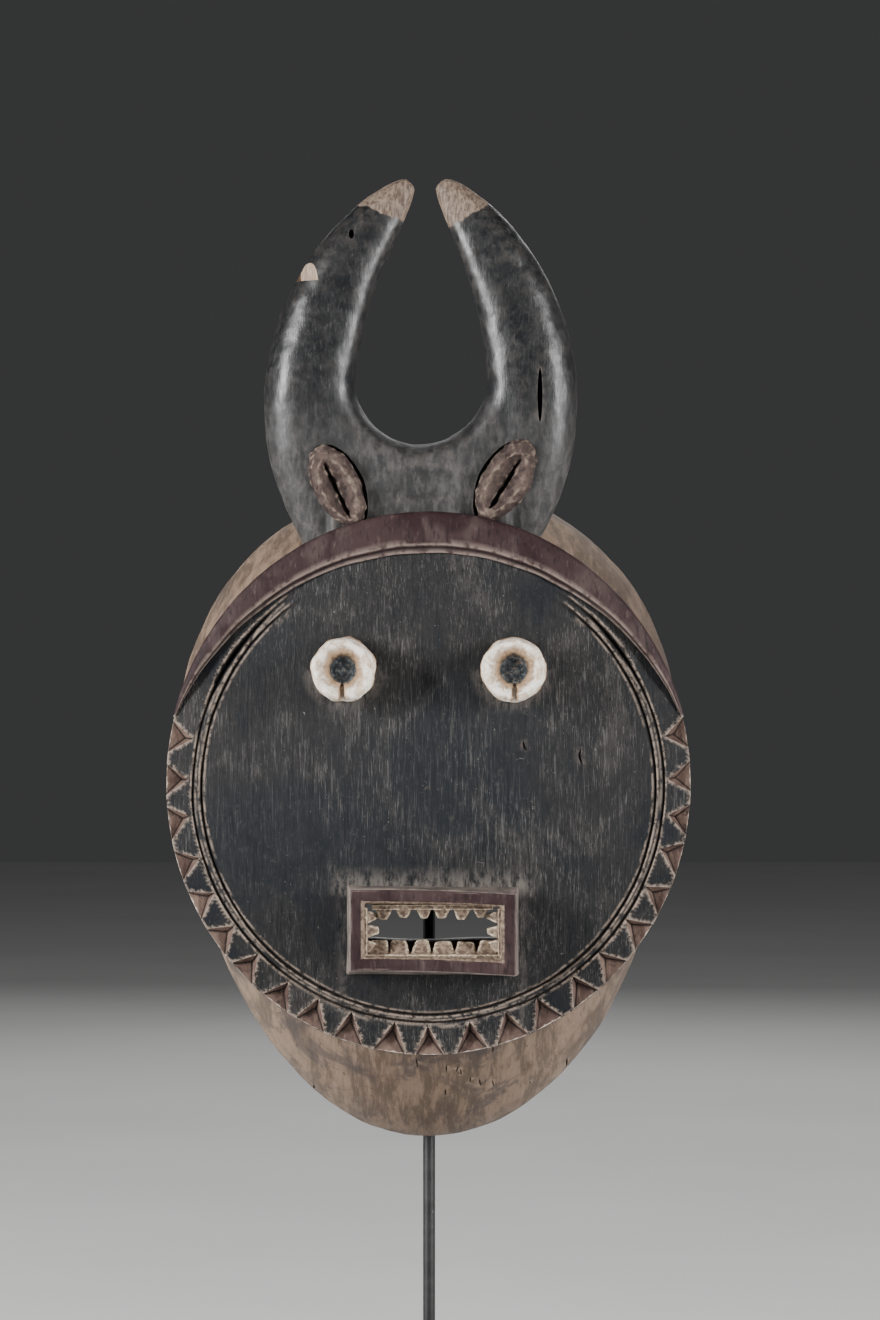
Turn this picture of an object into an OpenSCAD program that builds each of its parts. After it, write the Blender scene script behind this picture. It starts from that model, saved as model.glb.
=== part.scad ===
// Horned disc mask on a turning display stand.
// The front of the mask looks along -Y, +X is its left-to-right width and +Z is up.
// The origin is the middle of the stand's footprint, on the surface that it stands on.

/* [Face] */
// Half width of the round face board
face_a = 123.4; // [100:0.2:140]
// Half height of the round face board
face_b = 127.8; // [100:0.2:145]
// Thickness of the face board at its rim
face_rim = 12; // [9:0.5:16]
// Rise of the domed front above the rim
face_rise = 16; // [8:0.5:22]
// Height of the face board's centre above the table
face_h = 330; // [325:1:370]
// Number of chip-carved notches round the rim
notch_count = 23; // [15:1:29]
// Depth of the notches, measured from the rim's front
notch_depth = 4; // [2:0.5:6]

/* [Brow band] */
// Radius of the band's lower edge
brow_r = 130; // [126:0.5:134]
// How far below the face centre that edge is centred
brow_drop = 20; // [18:0.5:24]
// How far the band stands proud of the dome
brow_proud = 5; // [2:0.5:7]

/* [Eyes] */
// Half distance between the two eye tubes
eye_x = 39.5; // [34:0.5:46]
// Height of the eyes above the face centre
eye_z = 53.5; // [45:0.5:60]
// Outer radius of an eye tube at its front
eye_r = 14; // [11:0.5:16]
// Radius of the pupil, a blind hollow
pupil_r = 5.4; // [3:0.1:6]
// How far the tubes stand in front of the rim
eye_out = 31; // [26:0.5:36]

/* [Mouth] */
// Sideways offset of the mouth from the centre line
mouth_x = 2; // [-4:0.5:4]
// Height of the mouth's centre below the face centre
mouth_z = 68; // [60:0.5:74]
// Width and height of the opening inside the frame
mouth_open = [64.4, 24.8];
// Width of the frame's front face on each side
mouth_lip = 6; // [4:0.5:9]
// How far the frame stands in front of the rim
mouth_out = 28; // [24:0.5:32]

/* [Horns] */
// Sideways offset of the horns from the centre line
horn_x = -4; // [-6:0.5:6]
// Largest half width of a horn, seen from the front
horn_w = 21.3; // [16:0.1:25]
// Largest half thickness of a horn, front to back
horn_d = 17; // [12:0.5:20]
// How far the horns' tips lean to the right
horn_lean = 2.5; // [0:0.5:5]
// Height of the saddle between the horns above the face centre
saddle_z = 160; // [154:0.5:168]
// Radius of the round opening above the saddle
saddle_r = 31; // [26:0.5:34]

/* [Collar] */
// Depth of the hollow collar behind the face board
collar_depth = 92; // [70:1:110]
// Wall thickness of the collar
collar_wall = 11; // [8:0.5:15]
// Radius of the bar that the wearer bites
bite_r = 7; // [5:0.5:9]

/* [Stand] */
// Width, depth and thickness of the base plate
base_size = [150, 172, 10];
// Radius of the upright rod
post_r = 3; // [2.5:0.5:4]
// Radius of the turned socket that holds the rod
socket_r = 9; // [8:0.5:12]
// Height of that socket
socket_h = 40; // [34:1:60]

/* [Hidden] */
$fn = 72;
gap = 0.3;              // clearance between pieces that only come near each other
fit = 0.05;             // radial clearance of a running fit
far = 300;              // longer than anything that is cut

// Depths, along Y
board_back = -35;
rim_front = board_back - face_rim;
dome_front = rim_front - face_rise;
dome_r = (face_b * face_b + face_rise * face_rise) / (2 * face_rise);
collar_back = board_back + collar_depth;
post_y = collar_back + post_r + 2;
crest_y = -28;

// Outline of the face board
outline_n = 96;
function oval(a, b, n = outline_n) = [for (i = [0:n - 1]) [a * cos(360 * i / n), b * sin(360 * i / n)]];

// Extrudes an outline drawn in X and Z from depth y0 back to y1
module slab(y0, y1) {
  translate([0, y1, 0]) rotate([90, 0, 0]) linear_extrude(y1 - y0) children();
}

// The carved pieces are drawn about the centre of the face board
module on_mask() {
  translate([0, 0, face_h]) children();
}

module dome(proud = 0) {
  translate([0, dome_front + dome_r, 0]) sphere(dome_r + proud, $fn = 128);
}

module board_prism(y0 = dome_front - 2, y1 = board_back) {
  slab(y0, y1) polygon(oval(face_a, face_b));
}

// ---- Face board ----
ring_r = [107, 111.5];
ring_w = 1.6;
ring_depth = 1.6;
ring_centre = -1.4;
notch_from = 170;       // the first notch is on the left, a little above the middle
notch_to = 371;
notch_tip = 113.5;      // distance of a notch's inner point from the centre

module groove_rings() {
  for (r = ring_r) {
    y = dome_front + dome_r - sqrt(dome_r * dome_r - r * r);
    translate([0, y + ring_depth, ring_centre]) rotate([90, 0, 0]) difference() {
      cylinder(r = r + ring_w / 2, h = 8);
      translate([0, 0, -1]) cylinder(r = r - ring_w / 2, h = 10);
    }
  }
}

module rim_notches() {
  step = (notch_to - notch_from) / (notch_count - 1);
  for (i = [0:notch_count - 1]) {
    a = notch_from + i * step;
    half = step * 0.48;
    slab(dome_front - 2, rim_front + notch_depth)
      polygon([[notch_tip * cos(a), notch_tip * sin(a)],
        [136 * cos(a + half), 136 * sin(a + half)],
        [136 * cos(a - half), 136 * sin(a - half)]]);
  }
}

eye_seat_r = eye_r + 1.5;
eye_seat_y = rim_front - 5;
mouth_plug = [mouth_open[0] + 2 * mouth_lip + 5, mouth_open[1] + 2 * mouth_lip + 6];
mouth_seat_y = rim_front - 2;

module mouth_rect(size) {
  translate([mouth_x, -mouth_z]) square(size, center = true);
}

module face_board() {
  color([0.13, 0.15, 0.16]) on_mask() difference() {
    intersection() {
      board_prism();
      dome();
    }
    groove_rings();
    rim_notches();
    slab(dome_front - 5, mouth_seat_y) mouth_rect(mouth_plug);
    slab(dome_front - 5, board_back + 1) mouth_rect(mouth_open);
    for (s = [-1, 1]) translate([s * eye_x, eye_seat_y, eye_z])
      rotate([90, 0, 0]) cylinder(r = eye_seat_r, h = 40);
  }
}

// ---- Brow band ----
module brow_band() {
  color([0.35, 0.2, 0.2]) on_mask() difference() {
    intersection() {
      slab(dome_front - 10, rim_front + 6) difference() {
        polygon(oval(face_a, face_b));
        translate([0, -brow_drop]) circle(brow_r, $fn = 128);
        translate([-far / 2, -far + 34]) square(far);
      }
      dome(brow_proud);
    }
    dome();
  }
}

// ---- Eyes ----
slot_w = 2.4;
pupil_depth = 9;

module eye(side) {
  color([0.9, 0.86, 0.78]) on_mask() translate([side * eye_x, 0, eye_z]) difference() {
    translate([0, eye_seat_y, 0]) rotate([90, 0, 0])
      cylinder(r1 = eye_seat_r, r2 = eye_r, h = eye_seat_y - rim_front + eye_out);
    translate([0, rim_front - eye_out + pupil_depth, 0]) rotate([90, 0, 0]) cylinder(r = pupil_r, h = far);
    translate([0, rim_front - eye_out + 5, 0]) rotate([90, 0, 0])
      cylinder(r1 = pupil_r, r2 = eye_r - 2.5, h = 5.01);
    translate([-slot_w / 2, rim_front - eye_out - 1, -eye_seat_r - 2]) cube([slot_w, 12, eye_seat_r + 2]);
  }
}

// ---- Mouth ----
module mouth_frame() {
  front = [mouth_open[0] + 2 * mouth_lip, mouth_open[1] + 2 * mouth_lip + 1];
  color([0.36, 0.21, 0.22]) on_mask() difference() {
    union() {
      slab(dome_front + 2, mouth_seat_y) mouth_rect(mouth_plug);
      hull() {
        slab(dome_front + 1.9, dome_front + 2) mouth_rect(mouth_plug);
        slab(rim_front - mouth_out, rim_front - mouth_out + 0.1) mouth_rect(front);
      }
    }
    slab(rim_front - mouth_out - 1, mouth_seat_y + 1) mouth_rect(mouth_open);
  }
}

tooth_front = rim_front - mouth_out + 6;
tooth_thick = 9;
tooth_bar = 1.6;
lower_bar = 3;

// One tooth's outline, from the bar it stands on to its blunt tip and back
function tooth_outline(x, pitch, bar, len, tip) = [[x, -bar], [x + (pitch - tip) / 2, -bar - len],
  [x + (pitch + tip) / 2, -bar - len], [x + pitch, -bar]];

// A row of teeth along +X from the origin, pointing to -Z. Its ends are mitred to the corners of the
// mouth, which lie the two leads beyond them
module comb(count, width, bar, len, tip, leads = [0, 0]) {
  root_gap = 0.8;
  mitre_gap = 0.15;
  pitch = width / count;
  reach = bar + len + 1;
  corners = [mitre_gap - leads[0], width + leads[1] - mitre_gap];
  slab(tooth_front, tooth_front + tooth_thick) intersection() {
    polygon(concat([[0, 0]],
      [for (i = [0:count - 1]) each tooth_outline(i * pitch + root_gap / 2, pitch - root_gap, bar, len, tip)],
      [[width, 0]]));
    polygon([[corners[0], 0], [corners[1], 0], [corners[1] - reach, -reach], [corners[0] + reach, -reach]]);
  }
}

module teeth_colour() {
  color([0.74, 0.66, 0.52]) on_mask() translate([mouth_x, 0, -mouth_z]) children();
}

module teeth_upper() {
  teeth_colour() translate([-mouth_open[0] / 2, 0, mouth_open[1] / 2])
    comb(6, mouth_open[0], tooth_bar, 4.4, 2.4);
}

module teeth_lower() {
  teeth_colour() translate([mouth_open[0] / 2, 0, -mouth_open[1] / 2]) rotate([0, 180, 0])
    comb(6, mouth_open[0], lower_bar, 5.6, 5.6);
}

side_run = mouth_open[1] - tooth_bar - lower_bar;

module teeth_left() {
  teeth_colour() translate([-mouth_open[0] / 2, 0, -mouth_open[1] / 2 + lower_bar]) rotate([0, -90, 0])
    comb(3, side_run, tooth_bar, 4, 2, [lower_bar, tooth_bar]);
}

module teeth_right() {
  teeth_colour() translate([mouth_open[0] / 2, 0, mouth_open[1] / 2 - tooth_bar]) rotate([0, 90, 0])
    comb(3, side_run, tooth_bar, 4, 2, [tooth_bar, lower_bar]);
}

// ---- Collar ----
collar_n = 64;
collar_rows = 7;
// Outline of the collar at share s of its flare, 0 at the face board and 1 at the back edge
function collar_a(s) = 112 + 10.5 * s;
function collar_down(s) = 121 + 81 * s;
function collar_mid(s) = 5 + 20 * s;
function collar_point(t, u, inset) = let (s = sin(90 * t))
  [(collar_a(s) - inset) * cos(u), board_back + collar_depth * t,
    collar_mid(s) + ((sin(u) > 0 ? collar_a(s) : collar_down(s)) - inset) * sin(u)];
function collar_ring(t, inset) = [for (i = [0:collar_n - 1]) collar_point(t, 360 * i / collar_n, inset)];

// Side faces between rings of n points each; closed joins the last ring to the first
function band_faces(n, rings, closed = false) = [for (k = [0:rings - (closed ? 1 : 2)]) for (i = [0:n - 1])
  let (a = k * n + i, b = k * n + (i + 1) % n, k2 = (k + 1) % rings,
    c = k2 * n + (i + 1) % n, d = k2 * n + i) each [[a, b, c], [a, c, d]]];

module collar_shell() {
  rows = [for (j = [0:collar_rows - 1]) j / (collar_rows - 1)];
  rings = concat([for (t = rows) collar_ring(t, 0)],
    [for (j = [collar_rows - 1:-1:0]) collar_ring(rows[j], collar_wall)]);
  polyhedron([for (r = rings) each r], band_faces(collar_n, len(rings), true));
}

// The collar's outer form, filled, used to fit the crest and horns on it
module collar_core(reach = 0) {
  rows = [for (j = [0:collar_rows - 1]) j / (collar_rows - 1)];
  rings = [for (t = rows) collar_ring(t, -reach)];
  n = collar_n;
  last = len(rings) - 1;
  polyhedron([for (r = rings) each r], concat(band_faces(n, len(rings)),
    [for (i = [1:n - 2]) [0, i + 1, i]],
    [for (i = [1:n - 2]) [last * n, last * n + i, last * n + i + 1]]));
}

bite_y = board_back + 45;
bite_z = -82;
bite_half = 94;

module back_collar() {
  color([0.58, 0.47, 0.38]) on_mask() difference() {
    collar_shell();
    translate([-far / 2, bite_y, bite_z]) rotate([0, 90, 0]) cylinder(r = bite_r, h = far);
    for (s = [-1, 1]) translate([0, 0, -face_h])
      rod(peg_mouth(s) - lift * 10, peg_mouth(s) + lift * (peg_reach + gap), fork_rod + sleeve_wall + gap);
  }
}

module bite_bar() {
  color([0.3, 0.22, 0.17]) on_mask() translate([-bite_half, bite_y, bite_z])
    rotate([0, 90, 0]) cylinder(r = bite_r, h = 2 * bite_half);
}

// ---- Horns and crest ----
horn_n = 20;
horn_rows = 22;
function horn_path(side) = [[-43, 119], [-63, 175], [-55 - side * horn_lean / 2, 235], [-7 - side * horn_lean, 284]];
function bezier(p, t) = pow(1 - t, 3) * p[0] + 3 * t * pow(1 - t, 2) * p[1]
  + 3 * t * t * (1 - t) * p[2] + pow(t, 3) * p[3];
function bezier_dir(p, t) = let (d = 3 * pow(1 - t, 2) * (p[1] - p[0]) + 6 * t * (1 - t) * (p[2] - p[1])
  + 3 * t * t * (p[3] - p[2])) d / norm(d);
widest = 0.42;
function horn_half(t) = t < widest ? horn_w * (1 - 0.34 * pow((widest - t) / widest, 2))
  : horn_w * sqrt(1 - pow((t - widest) / (1.01 - widest), 1.5));
function horn_ring(path, t) = let (c = bezier(path, t), d = bezier_dir(path, t),
  w = horn_half(max(t, 0)), h = w * horn_d / horn_w + 1)
  [for (i = [0:horn_n - 1]) let (u = 360 * i / horn_n)
    [c[0] + d[1] * w * cos(u), crest_y + h * sin(u), c[1] - d[0] * w * cos(u)]];

module horn_form(side) {
  rows = [for (j = [0:horn_rows - 1]) -0.12 + 1.12 * j / (horn_rows - 1)];
  rings = [for (t = rows) horn_ring(horn_path(side), t)];
  n = horn_n;
  last = len(rings) - 1;
  polyhedron([for (r = rings) each r], concat(band_faces(n, len(rings)),
    [for (i = [1:n - 2]) [0, i + 1, i]],
    [for (i = [1:n - 2]) [last * n, last * n + i, last * n + i + 1]]));
}

crest_half = 38;
tenon_r = 5;
tenon_len = 12;
tenon_z = 138;
crest_top = saddle_z + saddle_r;

module crest_outline() {
  difference() {
    translate([-crest_half, 90]) square([2 * crest_half, crest_top - 90]);
    translate([0, crest_top]) circle(saddle_r);
  }
}

// The ears are carved by hand, so each has its own place and lean
function ear_at(side) = side < 0 ? [-38.5, 139] : [40, 142];
function ear_lean(side) = side < 0 ? 25 : -31;

module ear_outline(side) {
  arc_r = 25;
  arc_shift = 13;
  translate(ear_at(side)) rotate(ear_lean(side))
    intersection_for (s = [-1, 1]) translate([s * arc_shift, 0]) circle(arc_r);
}

ear_seat_y = crest_y - 10;
ear_front = crest_y - 24;

module ear_pockets() {
  for (s = [-1, 1]) slab(ear_front - 20, ear_seat_y) ear_outline(s);
}

// What the crest and the horns stand on: the face board and the collar
module footing() {
  translate([-horn_x, 0, 0]) {
    board_prism(dome_front - 20, board_back);
    collar_core();
  }
}

module on_crest() {
  on_mask() translate([horn_x, 0, 0]) children();
}

module crest_block() {
  color([0.17, 0.19, 0.2]) on_crest() {
    difference() {
      slab(crest_y - horn_d + 1, crest_y + horn_d - 1) crest_outline();
      footing();
      ear_pockets();
    }
    for (s = [-1, 1]) translate([s * (crest_half - 1), crest_y + 5, tenon_z])
      rotate([0, s * 90, 0]) cylinder(r = tenon_r, h = tenon_len + 1);
  }
}

module horn(side) {
  color([0.17, 0.19, 0.21]) on_crest() difference() {
    mirror([side > 0 ? 1 : 0, 0, 0]) horn_form(side);
    footing();
    ear_pockets();
    translate([-crest_half, -100, 0]) cube([2 * crest_half, 200, crest_top]);
    translate([side * (crest_half - 1), crest_y + 5, tenon_z])
      rotate([0, side * 90, 0]) cylinder(r = tenon_r, h = tenon_len + 2);
  }
}

module ear(side) {
  slit = [2.2, 28];
  color([0.5, 0.41, 0.36]) on_crest() difference() {
    slab(ear_front, ear_seat_y) ear_outline(side);
    translate([-horn_x, 0, 0]) board_prism(dome_front - 20, board_back);
    slab(ear_front - 1, ear_front + 6) translate(ear_at(side)) rotate(ear_lean(side)) square(slit, center = true);
  }
}

// ---- Display stand ----
plate_z = 2;
plate_top = plate_z + base_size[2];
post_from = plate_top + 10;
fork_rod = 2.5;
fork_half = 35;
sleeve_wall = 1.5;
lift = [0, -0.6, 0.8];  // the way that the mask lifts off
peg_y = 10;             // depth of the peg holes' mouths
peg_reach = 7;          // how far the pegs go into the wood
peg_neck = 14;
hub_r = 5.5;
hub_h = 14;
screw_z = plate_top + 26;
screw_r = 2;

// Height of the inside of the collar's top above the face centre, at offset x and depth y
function roof(x, y) = let (s = sin(90 * (y - board_back) / collar_depth), r = collar_a(s) - collar_wall)
  collar_mid(s) + sqrt(r * r - x * x);
function peg_mouth(side) = [side * fork_half, peg_y, face_h + roof(fork_half, peg_y)];
function peg_foot(side) = peg_mouth(side) - lift * peg_neck;
fork_z = peg_foot(1)[2];

module steel() {
  color([0.06, 0.06, 0.065]) children();
}

module at_post() {
  translate([0, post_y, 0]) children();
}

module post() {
  steel() at_post() translate([0, 0, post_from]) cylinder(r = post_r, h = fork_z + hub_h / 2 - post_from);
}

module rod(from, to, r = fork_rod) {
  d = to - from;
  translate(from) rotate([0, acos(d[2] / norm(d)), atan2(d[1], d[0])]) cylinder(r = r, h = norm(d));
}

module hanger_fork() {
  steel() difference() {
    union() {
      at_post() translate([0, 0, fork_z - hub_h / 2]) cylinder(r = hub_r, h = hub_h + 2);
      rod([-fork_half, post_y, fork_z], [fork_half, post_y, fork_z]);
      for (s = [-1, 1]) {
        translate([s * fork_half, post_y, fork_z]) sphere(fork_rod);
        rod([s * fork_half, post_y, fork_z], peg_foot(s));
        translate(peg_foot(s)) sphere(fork_rod);
        rod(peg_foot(s), peg_mouth(s) + lift * (peg_reach - sleeve_wall));
      }
    }
    at_post() translate([0, 0, fork_z - hub_h / 2 - 1]) cylinder(r = post_r, h = hub_h + 1);
  }
}

module tip_sleeves() {
  sleeve_len = 12;
  color([0.12, 0.12, 0.12]) for (s = [-1, 1]) difference() {
    rod(peg_mouth(s) + lift * (peg_reach - sleeve_len), peg_mouth(s) + lift * peg_reach, fork_rod + sleeve_wall);
    rod(peg_foot(s), peg_mouth(s) + lift * (peg_reach - sleeve_wall));
  }
}

module stop_sleeve() {
  chin = face_h + collar_mid(1) - collar_down(1);
  color([0.12, 0.12, 0.12]) at_post() translate([0, 0, chin + 1]) difference() {
    cylinder(r = post_r + 2 - gap, h = 16);
    translate([0, 0, -1]) cylinder(r = post_r, h = 18);
  }
}

corner = 6;

module stand_base() {
  bevel = 1.5;
  steel() difference() {
    union() {
      translate([0, 0, plate_z]) linear_extrude(base_size[2] - bevel) base_outline(0);
      hull() {
        translate([0, 0, plate_top - bevel]) linear_extrude(0.01) base_outline(0);
        translate([0, 0, plate_top - 0.01]) linear_extrude(0.01) base_outline(bevel);
      }
    }
    at_post() translate([0, 0, plate_z - 1]) cylinder(r = 2.7, h = base_size[2] + 2);
    at_post() translate([0, 0, plate_z - 0.01]) cylinder(r1 = 5.2, r2 = 2.6, h = 2.6);
  }
}

module base_outline(inset) {
  offset(corner - inset, $fn = 32)
    square([base_size[0] - 2 * corner, base_size[1] - 2 * corner], center = true);
}

module base_feet() {
  color([0.1, 0.1, 0.1]) for (x = [-1, 1], y = [-1, 1])
    translate([x * (base_size[0] / 2 - 16), y * (base_size[1] / 2 - 16), 0]) cylinder(r = 9, h = plate_z);
}

module post_socket() {
  steel() difference() {
    at_post() translate([0, 0, plate_top]) union() {
      cylinder(r = socket_r, h = socket_h - 3);
      translate([0, 0, socket_h - 3]) cylinder(r1 = socket_r, r2 = socket_r - 2.5, h = 3);
    }
    at_post() translate([0, 0, post_from]) cylinder(r = post_r + fit, h = socket_h);
    at_post() translate([0, 0, plate_top - 1]) cylinder(r = 2.5, h = 8.5);
    translate([0, post_y, screw_z]) rotate([-90, 0, 0]) cylinder(r = screw_r, h = socket_r + 2);
  }
}

module socket_screw() {
  color([0.3, 0.3, 0.31]) at_post() difference() {
    union() {
      translate([0, 0, plate_z + 0.3]) cylinder(r1 = 4.85, r2 = 2.45, h = 2.4);
      translate([0, 0, plate_z + 0.3]) cylinder(r = 2.45, h = 16.5);
    }
    translate([0, 0, plate_z]) cylinder(r = 1.6, h = 2, $fn = 6);
  }
}

module thumb_screw() {
  grips = 12;
  steel() translate([0, post_y, screw_z]) rotate([-90, 0, 0]) difference() {
    union() {
      translate([0, 0, post_r + fit]) cylinder(r = screw_r - fit, h = socket_r + 4);
      translate([0, 0, socket_r + 1]) cylinder(r = 3.5, h = 3);
      translate([0, 0, socket_r + 3]) cylinder(r = 6.5, h = 7);
    }
    for (i = [0:grips - 1]) rotate(360 * i / grips)
      translate([6.9, 0, socket_r + 2]) cylinder(r = 0.9, h = 9, $fn = 24);
  }
}

face_board();
brow_band();
eye(-1);  // eye_left
eye(1);  // eye_right
mouth_frame();
teeth_upper();
teeth_lower();
teeth_left();
teeth_right();
horn(-1);  // horn_left
horn(1);  // horn_right
crest_block();
ear(-1);  // ear_left
ear(1);  // ear_right
back_collar();
bite_bar();
post();
hanger_fork();
tip_sleeves();
stop_sleeve();
stand_base();
base_feet();
post_socket();
socket_screw();
thumb_screw();
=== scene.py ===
import math
import random

import bmesh
import bpy
import numpy as np
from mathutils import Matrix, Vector, noise
from mathutils.kdtree import KDTree


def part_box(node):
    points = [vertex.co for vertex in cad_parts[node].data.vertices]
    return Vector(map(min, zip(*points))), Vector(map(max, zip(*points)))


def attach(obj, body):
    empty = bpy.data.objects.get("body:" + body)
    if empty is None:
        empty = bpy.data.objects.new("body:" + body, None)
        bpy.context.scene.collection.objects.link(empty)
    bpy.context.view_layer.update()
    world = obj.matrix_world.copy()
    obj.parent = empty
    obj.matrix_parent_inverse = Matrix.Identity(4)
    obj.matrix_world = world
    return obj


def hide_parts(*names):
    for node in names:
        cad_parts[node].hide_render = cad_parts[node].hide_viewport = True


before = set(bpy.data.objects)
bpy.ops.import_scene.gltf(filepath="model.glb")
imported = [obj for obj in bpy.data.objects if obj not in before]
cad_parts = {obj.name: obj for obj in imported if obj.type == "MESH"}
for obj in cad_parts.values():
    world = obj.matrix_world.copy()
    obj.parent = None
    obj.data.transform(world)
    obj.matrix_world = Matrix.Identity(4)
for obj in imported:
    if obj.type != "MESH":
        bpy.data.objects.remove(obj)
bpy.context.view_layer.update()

bl_info = {
    "name": "Carved horned mask",
    "version": (1, 0, 0),
    "blender": (4, 5, 0),
    "location": "View3D > Sidebar > Mask",
    "description": "Carves and paints a horned round-faced mask on its display stand",
    "category": "Object",
}

MM = 0.001

# Places taken from the frame
FACE_LOW, FACE_HIGH = (Vector(c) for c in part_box("face_board"))
FACE_A = (FACE_HIGH.x - FACE_LOW.x) / 2
FACE_B = (FACE_HIGH.z - FACE_LOW.z) / 2
FACE_Z = (FACE_HIGH.z + FACE_LOW.z) / 2
DOME_FRONT = FACE_LOW.y
BOARD_BACK = FACE_HIGH.y
COLLAR_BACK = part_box("back_collar")[1][1]
CREST_LOW, CREST_HIGH = (Vector(c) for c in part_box("crest_block"))
CREST_X = (CREST_HIGH.x + CREST_LOW.x) / 2
CREST_Y = -28 * MM

# The bare tip of each horn: the way it points, and how far along that way the paint ends
LEFT_POINTS, RIGHT_POINTS = Vector((0.36, 0, 0.93)), Vector((-0.50, 0, 0.866))
TIP_LEFT = LEFT_POINTS.dot((-21 * MM, 0, FACE_Z + 268.5 * MM))
TIP_RIGHT = RIGHT_POINTS.dot((18.5 * MM, 0, FACE_Z + 267.5 * MM))


# ---------------------------------------------------------------- settings

def length(name, description, default, low, high):
    """A length in millimetres"""
    return bpy.props.FloatProperty(name=name, description=description, default=default * MM,
                                   min=low * MM, max=high * MM, unit="LENGTH")


def colour(name, description, default):
    """A colour in linear red, green and blue"""
    return bpy.props.FloatVectorProperty(name=name, description=description, default=default,
                                         subtype="COLOR", size=3, min=0, max=1)


class MaskCarving(bpy.types.PropertyGroup):
    """Sizes of the carved details"""

    face_rise: length(
        "Face rise", "Rise of the domed face above its rim", 16, 8, 22)
    groove_depth: length(
        "Groove depth", "Depth of the two lines cut round the face", 1.7, 0.5, 3)
    notch_count: bpy.props.IntProperty(
        name="Notches", description="Number of chip-carved notches round the rim",
        default=23, min=15, max=29)
    notch_depth: length(
        "Notch depth", "Depth of a notch at its deepest point", 4.4, 1, 6)
    brow_proud: length(
        "Brow height", "How far the brow band stands proud of the face", 4.6, 2, 5)
    pupil: length(
        "Pupil radius", "Radius of the hollow in each eye", 5.5, 3, 6)
    saddle: length(
        "Saddle radius", "Radius of the round opening between the horns", 31, 26, 34)
    seed: bpy.props.IntProperty(
        name="Hand", description="Seed of the small differences that hand carving leaves",
        default=7, min=0, max=99)


class MaskPaint(bpy.types.PropertyGroup):
    """Colours of the paint, the clay and the wood"""

    face: colour(
        "Face paint", "Blue-black paint of the face", (0.0070, 0.0085, 0.0105))
    horn: colour(
        "Horn paint", "Glossier blue-black paint of the horns", (0.0055, 0.0065, 0.0075))
    brown: colour(
        "Brown paint", "Purple-brown paint of the brow and mouth", (0.0175, 0.0065, 0.0080))
    clay: colour(
        "White clay", "Chalky white of the eyes", (0.88, 0.81, 0.72))
    wood: colour(
        "Bare wood", "Dry bare wood of the collar", (0.205, 0.142, 0.100))


# ------------------------------------------------------------- small tools

def deselect():
    """Leaves edit mode and empties the selection"""
    if bpy.context.object and bpy.context.object.mode != "OBJECT":
        bpy.ops.object.mode_set(mode="OBJECT")
    bpy.ops.object.select_all(action="DESELECT")


def pick(piece):
    """Makes one piece the only one picked"""
    deselect()
    piece.select_set(True)
    bpy.context.view_layer.objects.active = piece


def settle():
    """Puts the place, turn and size of the selected piece into its mesh"""
    bpy.ops.object.transform_apply(location=True, rotation=True, scale=True)


def block(place, size):
    """A cuboid to carve or to cut with"""
    deselect()
    bpy.ops.mesh.primitive_cube_add(size=1, location=place, scale=size)
    settle()
    return bpy.context.object


def lens(place, size, turn=(0, 0, 0)):
    """A small round cutter"""
    deselect()
    bpy.ops.mesh.primitive_uv_sphere_add(segments=16, ring_count=12, radius=1, location=place,
                                         scale=size, rotation=turn)
    made = bpy.context.object
    settle()
    return made


def edit(piece, kind):
    """Opens a piece for shaping by its faces or edges, with nothing picked"""
    bpy.ops.object.mode_set(mode="EDIT")
    bpy.ops.mesh.select_mode(type=kind)
    bpy.ops.mesh.select_all(action="DESELECT")
    return bmesh.from_edit_mesh(piece.data)


def turns(count):
    """Even turns round a ring"""
    return [2 * math.pi * i / count for i in range(count)]


def modify(piece, kind, **settings):
    """Adds a modifier and applies it"""
    pick(piece)
    modifier = piece.modifiers.new(kind.title(), kind)
    for key, value in settings.items():
        setattr(modifier, key, value)
    bpy.ops.object.modifier_apply(modifier=modifier.name)


def uneven(piece, size, strength):
    """Moves the surface in and out a little, as a hand-cut surface is"""
    texture = bpy.data.textures.new("hand_cut", "CLOUDS")
    texture.noise_scale = size
    modify(piece, "DISPLACE", texture=texture, texture_coords="LOCAL", strength=strength)


def cut(piece, cutter, operation="DIFFERENCE"):
    """Cuts one piece with another, which is used up, and keeps the cutter's material on the cut"""
    modify(piece, "BOOLEAN", object=cutter, operation=operation, solver="EXACT",
           material_mode="TRANSFER")
    bpy.data.objects.remove(cutter)


def duplicate(piece, name):
    """A copy with a mesh of its own"""
    copy = piece.copy()
    copy.data = piece.data.copy()
    copy.name = name
    bpy.context.collection.objects.link(copy)
    return copy


def join(pieces):
    """Makes one piece of several"""
    deselect()
    for piece in pieces:
        piece.select_set(True)
    bpy.context.view_layer.objects.active = pieces[0]
    bpy.ops.object.join()
    return pieces[0]


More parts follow.
